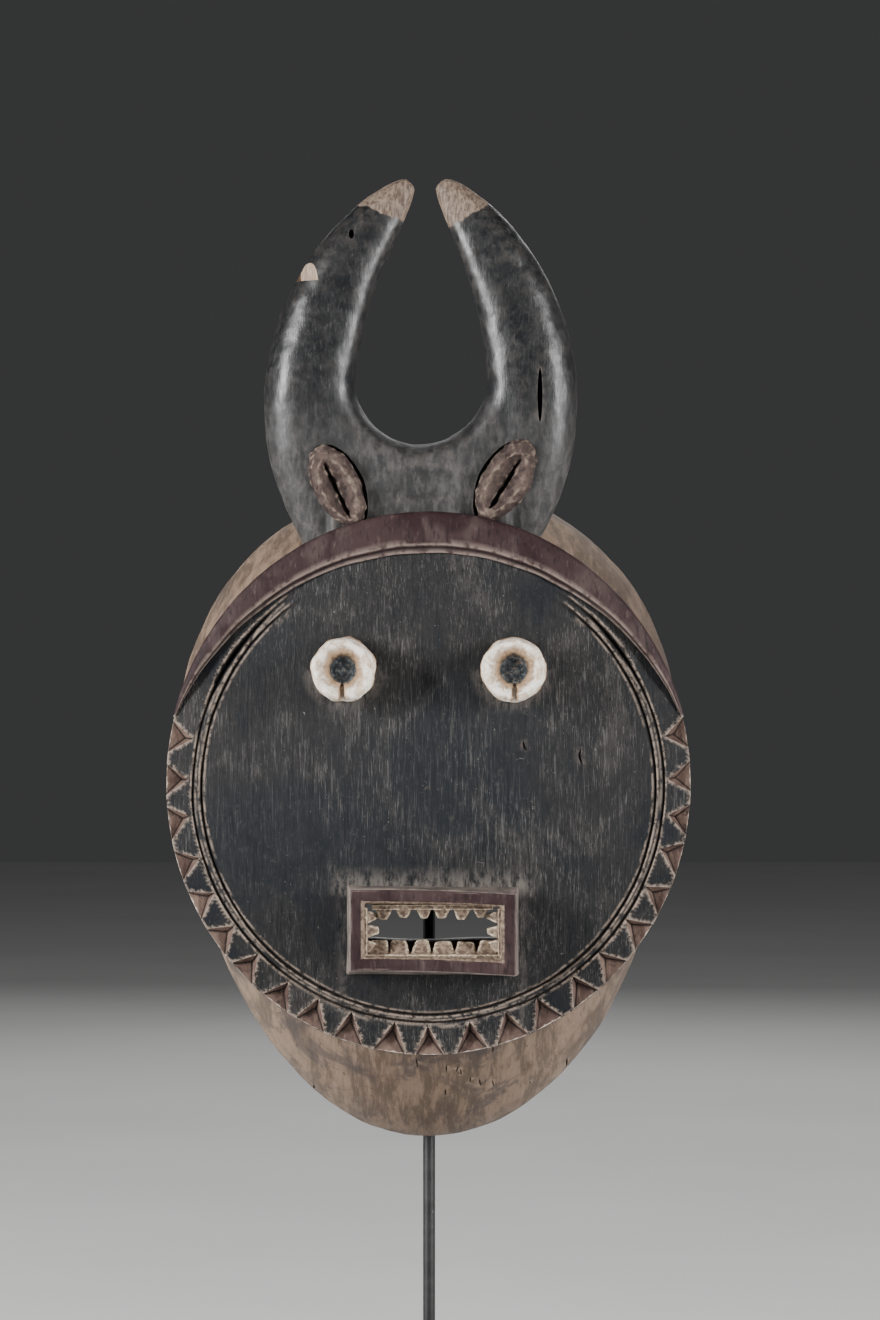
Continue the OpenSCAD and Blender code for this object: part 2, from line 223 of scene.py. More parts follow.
def lofted(name, rings, close="caps"):
    """A circle extruded ring by ring. Each ring is a list of places, all of one length"""
    deselect()
    bpy.ops.mesh.primitive_circle_add(vertices=len(rings[0]), radius=0.01)
    piece = bpy.context.object
    piece.name = name
    mesh = edit(piece, "EDGE")
    around = mesh.verts.layers.int.new("around")
    for index, vert in enumerate(mesh.verts):
        vert[around] = index
        vert.co = rings[0][index]
    bpy.ops.mesh.select_all(action="SELECT")
    for ring in rings[1:]:
        bpy.ops.mesh.extrude_region_move()
        mesh = bmesh.from_edit_mesh(piece.data)
        around = mesh.verts.layers.int["around"]
        for vert in mesh.verts:
            if vert.select:
                vert.co = ring[vert[around]]
    bmesh.update_edit_mesh(piece.data)
    bpy.ops.mesh.select_all(action="SELECT")
    bpy.ops.mesh.select_non_manifold(extend=False)
    if close == "ring":
        bpy.ops.mesh.bridge_edge_loops()
    else:
        bpy.ops.mesh.edge_face_add()
        bpy.ops.mesh.select_all(action="SELECT")
        bpy.ops.mesh.remove_doubles(threshold=1e-6)
    bpy.ops.mesh.select_all(action="SELECT")
    bpy.ops.mesh.normals_make_consistent(inside=False)
    bpy.ops.object.mode_set(mode="OBJECT")
    piece.location = (0, 0, 0)
    layer = piece.data.attributes.get("around")
    if layer:
        piece.data.attributes.remove(layer)
    return piece


def write_mark(piece, name, values):
    """Keeps a value for each point, which the paint reads by its name"""
    layer = piece.data.attributes.get(name) or piece.data.attributes.new(name, "FLOAT", "POINT")
    layer.data.foreach_set("value", values)


def mark_wear(piece, angle, spread, reach):
    """Writes how exposed each point is: wear is 1 on proud edges, pit is 1 in sharp hollows"""
    mesh = bmesh.new()
    mesh.from_mesh(piece.data)
    wear = [0.0] * len(mesh.verts)
    pit = [0.0] * len(mesh.verts)
    least = math.radians(angle)
    for edge in mesh.edges:
        if len(edge.link_faces) != 2:
            continue
        turn = edge.calc_face_angle_signed(0)
        amount = min(1, (abs(turn) - least) / least)
        if amount <= 0:
            continue
        target = wear if turn > 0 else pit
        for vert in edge.verts:
            target[vert.index] = max(target[vert.index], 0.4 + 0.6 * amount)
    short = [(e.verts[0].index, e.verts[1].index) for e in mesh.edges if e.calc_length() < reach]
    for _ in range(spread):
        for values in (wear, pit):
            before = values[:]
            for a, b in short:
                values[a] = max(values[a], 0.5 * before[b])
                values[b] = max(values[b], 0.5 * before[a])
    mesh.free()
    write_mark(piece, "wear", wear)
    write_mark(piece, "pit", pit)


def mark_curve(piece, reach, full):
    """Marks wear and pit on an evenly meshed piece from how far it bulges or sinks over a reach"""
    mesh = piece.data
    count = len(mesh.vertices)
    places, normals = np.empty((count, 3)), np.empty((count, 3))
    mesh.vertices.foreach_get("co", places.ravel())
    mesh.vertices.foreach_get("normal", normals.ravel())
    ends = np.empty(len(mesh.edges) * 2, dtype=np.int64)
    mesh.edges.foreach_get("vertices", ends)
    first, second = ends.reshape(-1, 2).T
    lengths = np.linalg.norm(places[first] - places[second], axis=1)
    passes = max(2, round((reach / float(np.median(lengths))) ** 2))
    degree = np.maximum(1, np.bincount(ends, minlength=count))
    smooth = places.copy()
    for _ in range(min(passes, 60)):
        total = np.zeros_like(smooth)
        for axis in range(3):
            total[:, axis] = (np.bincount(first, smooth[second, axis], count)
                              + np.bincount(second, smooth[first, axis], count))
        smooth = total / degree[:, None]
    bulge = ((places - smooth) * normals).sum(axis=1) / full
    write_mark(piece, "wear", np.clip(bulge, 0, 1).astype(np.float32))
    write_mark(piece, "pit", np.clip(-bulge, 0, 1).astype(np.float32))


def fade_marks(piece, places, reach):
    """Takes the wear away around some places"""
    layer = piece.data.attributes["wear"]
    for vert in piece.data.vertices:
        near = min(math.hypot(vert.co.x - x, vert.co.z - FACE_Z - z) for x, z in places)
        if near < reach:
            layer.data[vert.index].value *= 0.15


def copy_marks(piece, source):
    """Gives a piece parted from a larger form the wear of that form"""
    tree = KDTree(len(source.data.vertices))
    for index, vert in enumerate(source.data.vertices):
        tree.insert(vert.co, index)
    tree.balance()
    nearest = [tree.find(vert.co)[1] for vert in piece.data.vertices]
    for name in ("wear", "pit"):
        values = [item.value for item in source.data.attributes[name].data]
        write_mark(piece, name, [values[index] for index in nearest])


def finished(piece, name, body, nodes, materials=(), smooth=38):
    """Settles a piece: its place in its mesh, its materials, and what it stands for"""
    pick(piece)
    settle()
    if smooth:
        bpy.ops.object.shade_smooth_by_angle(angle=math.radians(smooth))
    piece.name = name
    piece.data.name = name
    if materials:
        piece.data.materials.clear()
        for face in piece.data.polygons:
            face.material_index = 0
    for material in materials:
        piece.data.materials.append(material)
    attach(piece, body)
    if nodes:
        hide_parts(*nodes)
    return piece


def wander(place, size, seed=0.0):
    """Smooth noise from -1 to 1 that changes over the given size"""
    return noise.noise(Vector(place) / size + Vector((seed, seed * 1.7, seed * 0.6)))


# ------------------------------------------------------- material building

class Finish:
    """A procedural material read from object coordinates"""

    def __init__(self, name):
        self.material = bpy.data.materials.new(name)
        self.material.use_nodes = True
        self.tree = self.material.node_tree
        self.tree.nodes.clear()
        output = self.tree.nodes.new("ShaderNodeOutputMaterial")
        self.shader = self.tree.nodes.new("ShaderNodeBsdfPrincipled")
        self.tree.links.new(self.shader.outputs[0], output.inputs[0])
        self.place = self.node("ShaderNodeTexCoord").outputs["Object"]

    def node(self, kind, inputs=None, **settings):
        """Adds a node, with its inputs set or linked"""
        made = self.tree.nodes.new(kind)
        for key, value in settings.items():
            setattr(made, key, value)
        for key, value in (inputs or {}).items():
            self.set(made.inputs[key], value)
        return made

    def set(self, socket, value):
        if isinstance(value, bpy.types.NodeSocket):
            self.tree.links.new(value, socket)
        elif socket.type == "RGBA" and len(value) == 3:
            socket.default_value = (*value, 1)
        else:
            socket.default_value = value

    def stretched(self, scale, turn=(0, 0, 0)):
        return self.node("ShaderNodeMapping", {"Vector": self.place, "Scale": scale,
                                               "Rotation": turn}).outputs[0]

    def noise(self, scale, detail=4, roughness=0.55, distortion=0.0, turn=(0, 0, 0)):
        """Noise from 0 to 1, with scale in features per metre along X, Y and Z"""
        if not isinstance(scale, tuple):
            scale = (scale, scale, scale)
        made = self.node("ShaderNodeTexNoise", {
            "Vector": self.stretched(scale, turn), "Scale": 1.0, "Detail": detail,
            "Roughness": roughness, "Distortion": distortion})
        return made.outputs[0]

    def cells(self, scale, feature, warp):
        """Distance inside a pattern of irregular cells"""
        place = self.stretched((scale, scale, scale))
        drift = self.node("ShaderNodeTexNoise", {"Vector": place, "Scale": 0.8, "Detail": 3})
        place = self.node("ShaderNodeMixRGB", {
            "Fac": warp, "Color1": place, "Color2": drift.outputs[1]}, blend_type="ADD").outputs[0]
        made = self.node("ShaderNodeTexVoronoi", {"Vector": place, "Scale": 1.0}, feature=feature)
        return made.outputs["Distance"]

    def band(self, value, low, high):
        """0 below low and 1 above high, or the other way round where low is the larger"""
        made = self.node("ShaderNodeMapRange", {"Value": value, "From Min": min(low, high),
                                                "From Max": max(low, high),
                                                "To Min": 0.0 if low < high else 1.0,
                                                "To Max": 1.0 if low < high else 0.0},
                         interpolation_type="SMOOTHSTEP")
        return made.outputs[0]

    def math(self, operation, a, b):
        made = self.node("ShaderNodeMath", operation=operation)
        self.set(made.inputs[0], a)
        self.set(made.inputs[1], b)
        return made.outputs[0]

    def times(self, a, b):
        return self.math("MULTIPLY", a, b)

    def plus(self, a, b):
        return self.math("ADD", a, b)

    def sway(self, value, reach):
        """Turns noise into a shift to either side"""
        return self.times(self.math("SUBTRACT", value, 0.5), reach)

    def mix(self, share, first, second):
        made = self.node("ShaderNodeMixRGB", {"Fac": share, "Color1": first, "Color2": second})
        return made.outputs[0]

    def start(self, share, first, second):
        """The first coat, which goes from one colour to another"""
        self.base = self.mix(share, first, second)

    def coat(self, color, share, strength=1):
        """Lays a colour over the coats so far where share is 1"""
        if strength != 1:
            share = self.times(share, strength)
        self.base = self.mix(share, self.base, color)

    def mark(self, name):
        """A value that a piece keeps for each point"""
        return self.node("ShaderNodeAttribute", attribute_name=name,
                         attribute_type="GEOMETRY").outputs["Fac"]

    def along(self, direction, offset=0.0):
        """Signed distance in metres along a direction, past the offset"""
        made = self.node("ShaderNodeVectorMath", {0: self.place, 1: direction},
                         operation="DOT_PRODUCT")
        return self.math("SUBTRACT", made.outputs["Value"], offset)

    def bump(self, height, strength, distance, before=None):
        """Relief too fine to carve, over the relief before it"""
        inputs = {"Height": height, "Strength": strength, "Distance": distance}
        if before:
            inputs["Normal"] = before
        return self.node("ShaderNodeBump", inputs).outputs[0]

    def done(self, roughness, normal, specular=0.5, metallic=0.0):
        """Joins the coats and the relief to the shader"""
        self.set(self.shader.inputs["Base Color"], self.base)
        self.set(self.shader.inputs["Roughness"], roughness)
        self.shader.inputs["Specular IOR Level"].default_value = specular
        self.shader.inputs["Metallic"].default_value = metallic
        self.set(self.shader.inputs["Normal"], normal)
        return self.material


def paint():
    """The colours that the panel holds"""
    return bpy.context.scene.mask_paint


def carving():
    """The sizes that the panel holds"""
    return bpy.context.scene.mask_carving


def face_paint():
    """Dry blue-black paint rubbed along the grain, grey where it has thinned"""
    f = Finish("face_paint")
    fine = f.noise((2300, 1200, 120), 6, 0.72, 0.3)
    long = f.noise((900, 480, 40), 5, 0.66, 0.2)
    mottle = f.noise((330, 330, 210), 5, 0.7, 0.5)
    cloud = f.noise((24, 24, 17), 6, 0.68, 0.6)
    broad = f.noise(8.5, 3, 0.5, 0.8)
    f.start(f.band(broad, 0.38, 0.62), tuple(paint().face), (0.0125, 0.0120, 0.0120))
    f.coat((0.034, 0.0305, 0.0285), f.band(cloud, 0.52, 0.66), 0.70)
    f.coat((0.0030, 0.0048, 0.0078), f.band(cloud, 0.46, 0.34), 0.8)
    f.coat((0.052, 0.048, 0.045), f.band(mottle, 0.56, 0.70), 0.45)
    f.coat((0.0022, 0.0030, 0.0042), f.band(mottle, 0.47, 0.34), 0.65)
    area = f.plus(f.times(f.band(cloud, 0.40, 0.62), 0.85), 0.12)
    rubbed = f.times(f.band(fine, 0.54, 0.66), area)
    f.coat((0.160, 0.152, 0.145), rubbed, 0.72)
    f.coat((0.095, 0.090, 0.086), f.times(f.band(long, 0.54, 0.70), area), 0.60)
    f.coat((0.0020, 0.0028, 0.0042), f.band(long, 0.45, 0.34), 0.75)
    scrape = f.times(f.band(f.noise((160, 160, 900), 5, 0.7, 0.6, (0, 0.6, 0)), 0.62, 0.70),
                     f.band(f.noise(33, 4, 0.6), 0.55, 0.66))
    f.coat((0.16, 0.145, 0.13), scrape, 0.6)
    speck = f.band(f.noise((1100, 1100, 620), 2, 0.5), 0.735, 0.78)
    f.coat((0.22, 0.20, 0.18), speck, 0.6)
    halo = f.times(f.mark("halo"), f.band(f.noise((300, 300, 120), 5, 0.7), 0.36, 0.60))
    f.coat((0.150, 0.132, 0.118), halo, 0.8)
    worn = f.times(f.mark("wear"), f.band(f.noise(330, 4, 0.7), 0.38, 0.54))
    f.coat((0.30, 0.235, 0.19), worn)
    # painted shade: darker in the sharp hollows of the carving
    f.coat((0.006, 0.0045, 0.004), f.mark("pit"), 0.9)
    height = f.plus(f.times(fine, 0.7), f.times(long, 0.6))
    normal = f.bump(height, 0.75, 0.6 * MM)
    normal = f.bump(f.noise(150, 5, 0.65), 0.35, 0.9 * MM, normal)
    rough = f.plus(f.times(mottle, 0.35), 0.40)
    return f.done(rough, normal, 0.16)


def cut_wood():
    """Bare pink-brown wood of a chip-carved notch, with painted shade in its depth and pale on its
    edges
    """
    f = Finish("cut_wood")
    grain = f.noise((500, 500, 90), 4, 0.6)
    patch = f.noise(70, 4, 0.6, 0.4)
    f.start(f.band(patch, 0.34, 0.66), (0.060, 0.034, 0.028), (0.135, 0.088, 0.069))
    f.coat((0.20, 0.142, 0.110), f.band(grain, 0.5, 0.7), 0.5)
    f.coat((0.022, 0.014, 0.012), f.band(f.noise(150, 3, 0.6), 0.58, 0.70), 0.7)
    edge = f.times(f.band(f.mark("wear"), 0.45, 0.95), f.band(f.noise(300, 3, 0.6), 0.3, 0.5))
    f.coat((0.52, 0.43, 0.35), edge)
    # painted shade: the notch is darkened in its deep, sharp hollows
    f.coat((0.006, 0.004, 0.0035), f.band(f.mark("pit"), 0.3, 1.0), 0.95)
    normal = f.bump(f.noise(420, 5, 0.65), 0.8, 0.8 * MM)
    normal = f.bump(grain, 0.35, 0.5 * MM, normal)
    return f.done(0.74, normal, 0.3)


def brown_paint(name, dust):
    """Purple-brown paint, thin and dusty, with pale worn edges"""
    f = Finish(name)
    streak = f.noise((620, 500, 130), 4, 0.6)
    cloud = f.noise(46, 5, 0.6, 0.6)
    block = f.noise((90, 90, 34), 3, 0.5)
    f.start(f.band(cloud, 0.34, 0.64), tuple(paint().brown), (0.036, 0.0195, 0.0195))
    f.coat((0.070, 0.050, 0.046), f.times(f.band(block, 0.50, 0.64), dust))
    f.coat((0.115, 0.084, 0.075), f.band(streak, 0.56, 0.74), 0.45)
    f.coat((0.007, 0.003, 0.0038), f.band(streak, 0.45, 0.32), 0.7)
    worn = f.times(f.mark("wear"), f.band(f.noise(230, 4, 0.65), 0.30, 0.54))
    f.coat((0.30, 0.235, 0.20), worn)
    # painted shade: darker in the sharp hollows
    f.coat((0.012, 0.008, 0.008), f.mark("pit"), 0.9)
    normal = f.bump(streak, 0.4, 0.5 * MM)
    normal = f.bump(f.noise(170, 4, 0.6), 0.45, 0.8 * MM, normal)
    return f.done(0.66, normal, 0.22)


def wall_paint():
    """Grey-pink rubbed sides of the mouth box"""
    f = Finish("wall_paint")
    streak = f.noise((240, 240, 600), 4, 0.6)
    cloud = f.noise(90, 4, 0.6, 0.4)
    f.start(f.band(cloud, 0.34, 0.62), (0.060, 0.048, 0.044), (0.150, 0.120, 0.104))
    f.coat((0.22, 0.18, 0.155), f.band(streak, 0.55, 0.72), 0.5)
    worn = f.times(f.mark("wear"), f.band(f.noise(260, 4, 0.6), 0.35, 0.55))
    f.coat((0.42, 0.34, 0.29), worn)
    # painted shade: darker in the sharp hollows
    f.coat((0.015, 0.011, 0.010), f.mark("pit"), 0.8)
    return f.done(0.68, f.bump(f.noise(260, 5, 0.6), 0.5, 0.6 * MM), 0.3)


def horn_paint():
    """Satin blue-black paint with fine long grain, dusty grey low down, bare at the tips"""
    f = Finish("horn_paint")
    grain = f.noise((1500, 1300, 260), 6, 0.72, 0.2)
    long = f.noise((520, 480, 70), 5, 0.66, 0.2)
    mottle = f.noise(150, 5, 0.7, 0.4)
    cloud = f.noise((46, 46, 30), 5, 0.66, 0.5)
    f.start(f.band(cloud, 0.42, 0.62), tuple(paint().horn), (0.0115, 0.0120, 0.0128))
    f.coat((0.022, 0.022, 0.022), f.band(mottle, 0.52, 0.68), 0.6)
    f.coat((0.034, 0.033, 0.033), f.band(long, 0.55, 0.70), 0.6)
    f.coat((0.075, 0.072, 0.070), f.band(grain, 0.56, 0.68), 0.55)
    f.coat((0.0015, 0.0018, 0.0022), f.band(grain, 0.44, 0.32), 0.7)
    low = f.plus(f.along((0, 0, 1), FACE_Z + 166 * MM), f.sway(cloud, 0.07))
    dusty = f.band(low, 0.030, -0.030)
    dust = f.mix(f.band(f.noise((300, 240, 110), 6, 0.7, 0.3), 0.42, 0.64),
                 (0.012, 0.012, 0.012), (0.062, 0.058, 0.056))
    f.coat(dust, dusty, 0.85)
    worn = f.times(f.mark("wear"), f.band(f.noise(240, 4, 0.6), 0.38, 0.58))
    f.coat((0.22, 0.185, 0.16), worn, 0.35)
    # painted shade: darker where the surface sinks
    f.coat((0.010, 0.008, 0.007), f.mark("pit"), 0.9)
    rough = f.plus(f.times(grain, 0.32), 0.17)
    rough = f.plus(rough, f.times(f.band(mottle, 0.35, 0.65), 0.10))
    rough = f.plus(rough, f.times(dusty, 0.26))
    ragged = f.sway(f.noise(170, 4, 0.6), 0.006)
    left = f.plus(f.along(LEFT_POINTS, TIP_LEFT), ragged)
    right = f.plus(f.along(RIGHT_POINTS, TIP_RIGHT), ragged)
    side = f.band(f.along((1, 0, 0), CREST_X), -0.0005, 0.0005)
    bare = f.mix(side, f.band(left, -0.0004, 0.0004), f.band(right, -0.0004, 0.0004))
    wood = f.mix(f.band(f.noise((700, 700, 220), 5, 0.65), 0.36, 0.62), (0.070, 0.045, 0.031),
                 (0.215, 0.158, 0.118))
    wood = f.mix(f.times(f.band(f.noise(380, 3, 0.6), 0.60, 0.68), 0.7), wood,
                 (0.07, 0.040, 0.028))
    f.coat(wood, bare)
    rough = f.plus(rough, f.times(bare, 0.3))
    normal = f.bump(f.plus(grain, f.times(long, 0.8)), 0.26, 0.40 * MM)
    normal = f.bump(f.noise((240, 240, 120), 4, 0.6), 0.22, 0.9 * MM, normal)
    return f.done(rough, normal, 0.50)


def fresh_break():
    """Pale wood where a splinter has broken away"""
    f = Finish("broken_wood")
    grain = f.noise((900, 900, 120), 5, 0.65)
    f.start(f.band(grain, 0.35, 0.65), (0.20, 0.14, 0.10), (0.40, 0.31, 0.235))
    return f.done(0.8, f.bump(grain, 0.7, 0.6 * MM), 0.25)


def white_clay():
    """Thick white clay, stained and thinned towards the pupil and the slot, with painted shade on
    the upper side of the ring
    """
    f = Finish("white_clay")
    patch = f.noise(210, 5, 0.65, 0.4)
    fine = f.noise(1300, 4, 0.6)
    f.start(f.band(patch, 0.42, 0.60), tuple(paint().clay), (0.56, 0.44, 0.32))
    f.coat((0.92, 0.89, 0.83), f.band(fine, 0.35, 0.75), 0.35)
    # real brown stain round the pupil and the slot, with painted shade added on the upper side of
    # the ring
    stain_and_shade = f.plus(f.mark("stain_and_shade"), f.sway(patch, 0.55))
    f.coat((0.38, 0.255, 0.155), f.band(stain_and_shade, 0.28, 0.72))
    f.coat((0.030, 0.022, 0.016), f.band(stain_and_shade, 0.72, 1.05))
    # painted shade: darker where the surface sinks
    f.coat((0.09, 0.06, 0.04), f.mark("pit"), 0.6)
    dark = f.mix(f.band(f.noise(500, 4, 0.65), 0.45, 0.68),
                 (0.016, 0.020, 0.023), (0.085, 0.088, 0.088))
    rim = f.plus(f.mark("pupil"), f.sway(patch, 0.5))
    f.coat(dark, f.band(rim, 0.40, 0.62))
    crack = f.times(f.band(f.cells(190, "DISTANCE_TO_EDGE", 0.6), 0.035, 0.0),
                    f.band(patch, 0.45, 0.6))
    f.coat((0.20, 0.13, 0.08), crack, 0.6)
    normal = f.bump(patch, 0.6, 0.9 * MM)
    normal = f.bump(fine, 0.35, 0.35 * MM, normal)
    return f.done(0.82, normal, 0.25)


def tooth_white():
    """Chalky cream rubbed off to pink-brown wood, with painted shade in the hollows"""
    f = Finish("chalky_teeth")
    patch = f.noise(420, 5, 0.65, 0.4)
    f.start(f.band(patch, 0.40, 0.60), (0.225, 0.168, 0.120), (0.085, 0.054, 0.041))
    worn = f.times(f.band(f.mark("wear"), 0.20, 0.75), f.band(f.noise(420, 4, 0.6), 0.30, 0.50))
    f.coat((0.52, 0.43, 0.315), worn)
    # painted shade: darker in the hollows between the teeth
    f.coat((0.05, 0.03, 0.022), f.mark("pit"), 0.8)
    return f.done(0.72, f.bump(f.noise(700, 5, 0.6), 0.55, 0.5 * MM), 0.3)


def collar_wood():
    """Dry tan wood with long grain, smoke patches and a handled back edge, with painted shadow
    under the face board and painted shade down the right flank and in the creases
    """
    f = Finish("collar_wood")
    grain = f.noise((760, 120, 60), 5, 0.65)
    long = f.noise((120, 30, 8), 5, 0.62, 0.4)
    smoke = f.noise((26, 26, 17), 6, 0.68, 0.8)
    cloud = f.noise(40, 4, 0.6)
    f.start(f.band(long, 0.42, 0.58), tuple(c * 0.50 for c in paint().wood), tuple(paint().wood))
    f.coat((0.26, 0.190, 0.140), f.band(grain, 0.52, 0.70), 0.50)
    f.coat((0.060, 0.038, 0.027), f.band(grain, 0.47, 0.30), 0.6)
    f.coat((0.050, 0.040, 0.038), f.band(smoke, 0.50, 0.62), 0.75)
    f.coat((0.080, 0.045, 0.032), f.band(cloud, 0.56, 0.70), 0.40)
    back = f.plus(f.along((0, 1, 0), COLLAR_BACK), f.sway(smoke, 0.05))
    f.coat((0.032, 0.022, 0.018), f.band(back, -0.012, 0.0), 0.75)
    # painted shadow: darker where the collar runs in under the face board's rim
    front = f.plus(f.along((0, -1, 0), -BOARD_BACK), f.sway(smoke, 0.04))
    f.coat((0.050, 0.036, 0.030), f.band(front, -0.012, 0.004), 0.5)
    f.coat((0.05, 0.032, 0.022), f.band(f.noise(380, 3, 0.5), 0.66, 0.73), 0.7)
    # painted shade: the right flank of the collar is darker
    right_side_shade = f.plus(f.along((1, 0, 0), 75 * MM), f.sway(smoke, 0.09))
    f.coat((0.050, 0.036, 0.029), f.band(right_side_shade, -0.02, 0.03), 0.40)
    worn = f.times(f.mark("wear"), f.band(f.noise(240, 4, 0.6), 0.42, 0.6))
    f.coat((0.40, 0.30, 0.22), worn, 0.6)
    # painted shade: darker in the sharp hollows
    f.coat((0.015, 0.010, 0.008), f.mark("pit"), 0.9)
    normal = f.bump(grain, 0.45, 0.5 * MM)
    normal = f.bump(f.noise(90, 4, 0.6), 0.30, 1.0 * MM, normal)
    return f.done(0.66, normal, 0.35)


def hollow_wood():
    """Dark wood of the inside of the mask, a little glossy, paler on worn edges, with gouge marks
    """
    f = Finish("hollow_wood")
    grain = f.noise((700, 120, 70), 5, 0.65)
    cloud = f.noise(26, 5, 0.6, 0.5)
    f.start(f.band(cloud, 0.34, 0.64), (0.026, 0.016, 0.011), (0.070, 0.045, 0.031))
    f.coat((0.115, 0.080, 0.056), f.band(grain, 0.54, 0.74), 0.4)
    f.coat((0.022, 0.014, 0.010), f.band(grain, 0.42, 0.28), 0.5)
    worn = f.times(f.mark("wear"), f.band(f.noise(200, 4, 0.6), 0.36, 0.6))
    f.coat((0.30, 0.21, 0.15), worn)
    normal = f.bump(f.cells(75, "F1", 0.4), 0.5, 1.6 * MM)
    normal = f.bump(grain, 0.35, 0.5 * MM, normal)
    return f.done(0.55, normal, 0.4)


def ear_wood():
    """Rough brown and tan wood with remains of paint, painted shade deeper into the ear, and pale
    crumbs on the rim that also serve as a painted highlight
    """
    f = Finish("ear_wood")
    patch = f.noise(95, 5, 0.65, 0.4)
    grain = f.noise((900, 900, 260), 4, 0.6)
    f.start(f.band(patch, 0.36, 0.64), (0.062, 0.041, 0.036), (0.105, 0.074, 0.061))
    f.coat((0.135, 0.100, 0.080), f.band(grain, 0.54, 0.70), 0.5)
    f.coat((0.020, 0.013, 0.011), f.band(f.noise(200, 4, 0.6), 0.58, 0.68), 0.7)
    # painted shade: the wood darkens with depth into the ear
    hollow = f.plus(f.along((0, 1, 0), CREST_LOW.y - 8 * MM), f.sway(patch, 5 * MM))
    f.coat((0.016, 0.009, 0.0095), f.band(hollow, 0.5 * MM, 6.5 * MM), 0.75)
    # pale crumbs on the raised rim, which also act as a painted highlight there
    rim_crumbs_and_highlight = f.times(f.band(hollow, 1.2 * MM, -1.8 * MM), f.band(f.noise(520, 4, 0.7), 0.34, 0.58))
    f.coat((0.185, 0.145, 0.118), rim_crumbs_and_highlight, 0.60)
    worn = f.times(f.band(f.mark("wear"), 0.35, 1.0), f.band(f.noise(260, 4, 0.65), 0.36, 0.60))
    f.coat((0.20, 0.152, 0.120), worn, 0.85)
    # painted shade: darker where the surface sinks
    f.coat((0.010, 0.007, 0.006), f.mark("pit"), 0.7)
    normal = f.bump(f.noise(420, 5, 0.75), 0.9, 1.0 * MM)
    return f.done(0.8, normal, 0.25)


def bar_wood():
    """Dark wood polished by teeth and hands"""
    f = Finish("bar_wood")
    grain = f.noise((60, 700, 700), 5, 0.65)
    f.start(f.band(grain, 0.34, 0.68), (0.040, 0.024, 0.016), (0.135, 0.085, 0.055))
    f.coat((0.025, 0.015, 0.011), f.band(f.noise(90, 4, 0.6), 0.54, 0.68), 0.6)
    return f.done(0.42, f.bump(grain, 0.35, 0.5 * MM), 0.45)


def black_steel():
    """Satin black lacquer on steel, with faint dust and rubbed spots"""
    f = Finish("black_lacquer")
    fine = f.noise(1400, 4, 0.6)
    smear = f.noise((35, 35, 90), 4, 0.6, 0.4)
    f.start(f.band(smear, 0.40, 0.70), (0.0075, 0.0075, 0.008), (0.020, 0.020, 0.021))
    f.coat((0.09, 0.088, 0.085), f.band(f.noise(240, 4, 0.6), 0.66, 0.72), 0.5)
    rough = f.plus(f.times(smear, 0.24), 0.26)
    return f.done(rough, f.bump(fine, 0.25, 0.12 * MM), 0.5)


def plain_steel():
    """Bright turned steel with fine tool rings"""
    f = Finish("turned_steel")
    ring = f.noise((300, 300, 1500), 4, 0.6)
    f.start(f.band(ring, 0.3, 0.7), (0.30, 0.30, 0.31), (0.52, 0.52, 0.53))
    return f.done(f.plus(f.times(ring, 0.25), 0.22), f.bump(ring, 0.2, 0.05 * MM), 0.5, 1.0)


def soft_rubber():
    """Matt black rubber, a little dusty"""
    f = Finish("soft_rubber")
    fine = f.noise(1800, 4, 0.6)
    f.start(f.band(f.noise(120, 4, 0.6), 0.36, 0.7), (0.010, 0.010, 0.010), (0.028, 0.027, 0.026))
    return f.done(0.82, f.bump(fine, 0.5, 0.15 * MM), 0.3)


def floor_paper():
    """Pale studio paper"""
    f = Finish("floor_paper")
    f.start(f.band(f.noise(3, 3, 0.5), 0.3, 0.7), (0.74, 0.735, 0.725), (0.78, 0.775, 0.765))
    return f.done(0.85, f.bump(f.noise(300, 4, 0.6), 0.1, 0.2 * MM), 0.2)


# ----------------------------------------------------------- carved forms

def dome_radius():
    """Radius of the ball that the face is part of"""
    rise = carving().face_rise
    return (FACE_B * FACE_B + rise * rise) / (2 * rise)


def dome_y(x, z):
    """Depth of the domed face at a place measured from the middle of the face"""
    radius = dome_radius()
    return DOME_FRONT + radius - math.sqrt(radius * radius - x * x - z * z)


ROUND_TO = 111.8 * MM       # inside this radius the carving runs in true circles
FACE_MEAN = (FACE_A + FACE_B) / 2


def face_place(radius, angle):
    """A place on the face: circles in the middle that grow into the oval of the rim"""
    share = max(0, (radius - ROUND_TO) / (FACE_MEAN - ROUND_TO))
    a = radius + share * (FACE_A - FACE_MEAN)
    b = radius + share * (FACE_B - FACE_MEAN)
    return a * math.cos(angle), b * math.sin(angle)


def groove_at(radius, angle):
    """Depth of the two cut lines at a place on the face"""
    depth = carving().groove_depth
    turn = (math.cos(angle) * 2, math.sin(angle) * 2, 0)
    total = 0.0
    lines = ((106.2 * MM, 1.05 * MM, 1.0), (110.1 * MM, 1.0 * MM, 0.9))
    x, z = radius * math.cos(angle), radius * math.sin(angle)
    radius = math.hypot(x, z + 1.4 * MM)
    under_brow = min(1, max(0, (0.86 - math.sin(angle)) / 0.16))
    for index, (middle, half, share) in enumerate(lines):
        share *= under_brow
        middle += 0.45 * MM * wander(turn, 0.45, index * 5.0)
        wide = 1 + 0.25 * wander(turn, 0.2, 9 + index)
        if index == 1:
            for gap, reach in ((math.radians(146), 0.26), (math.radians(37), 0.20)):
                near = max(0, 1 - abs(angle - gap) / reach)
                wide += 1.3 * near
                share += 1.6 * near
        total = max(total, share * depth * max(0, 1 - abs(radius - middle) / (half * wide)))
    return total


def spaced(start, end, step):
    """Even steps from start up to, and not including, end"""
    count = max(1, round((end - start) / step))
    return [start + (end - start) * i / count for i in range(count)]


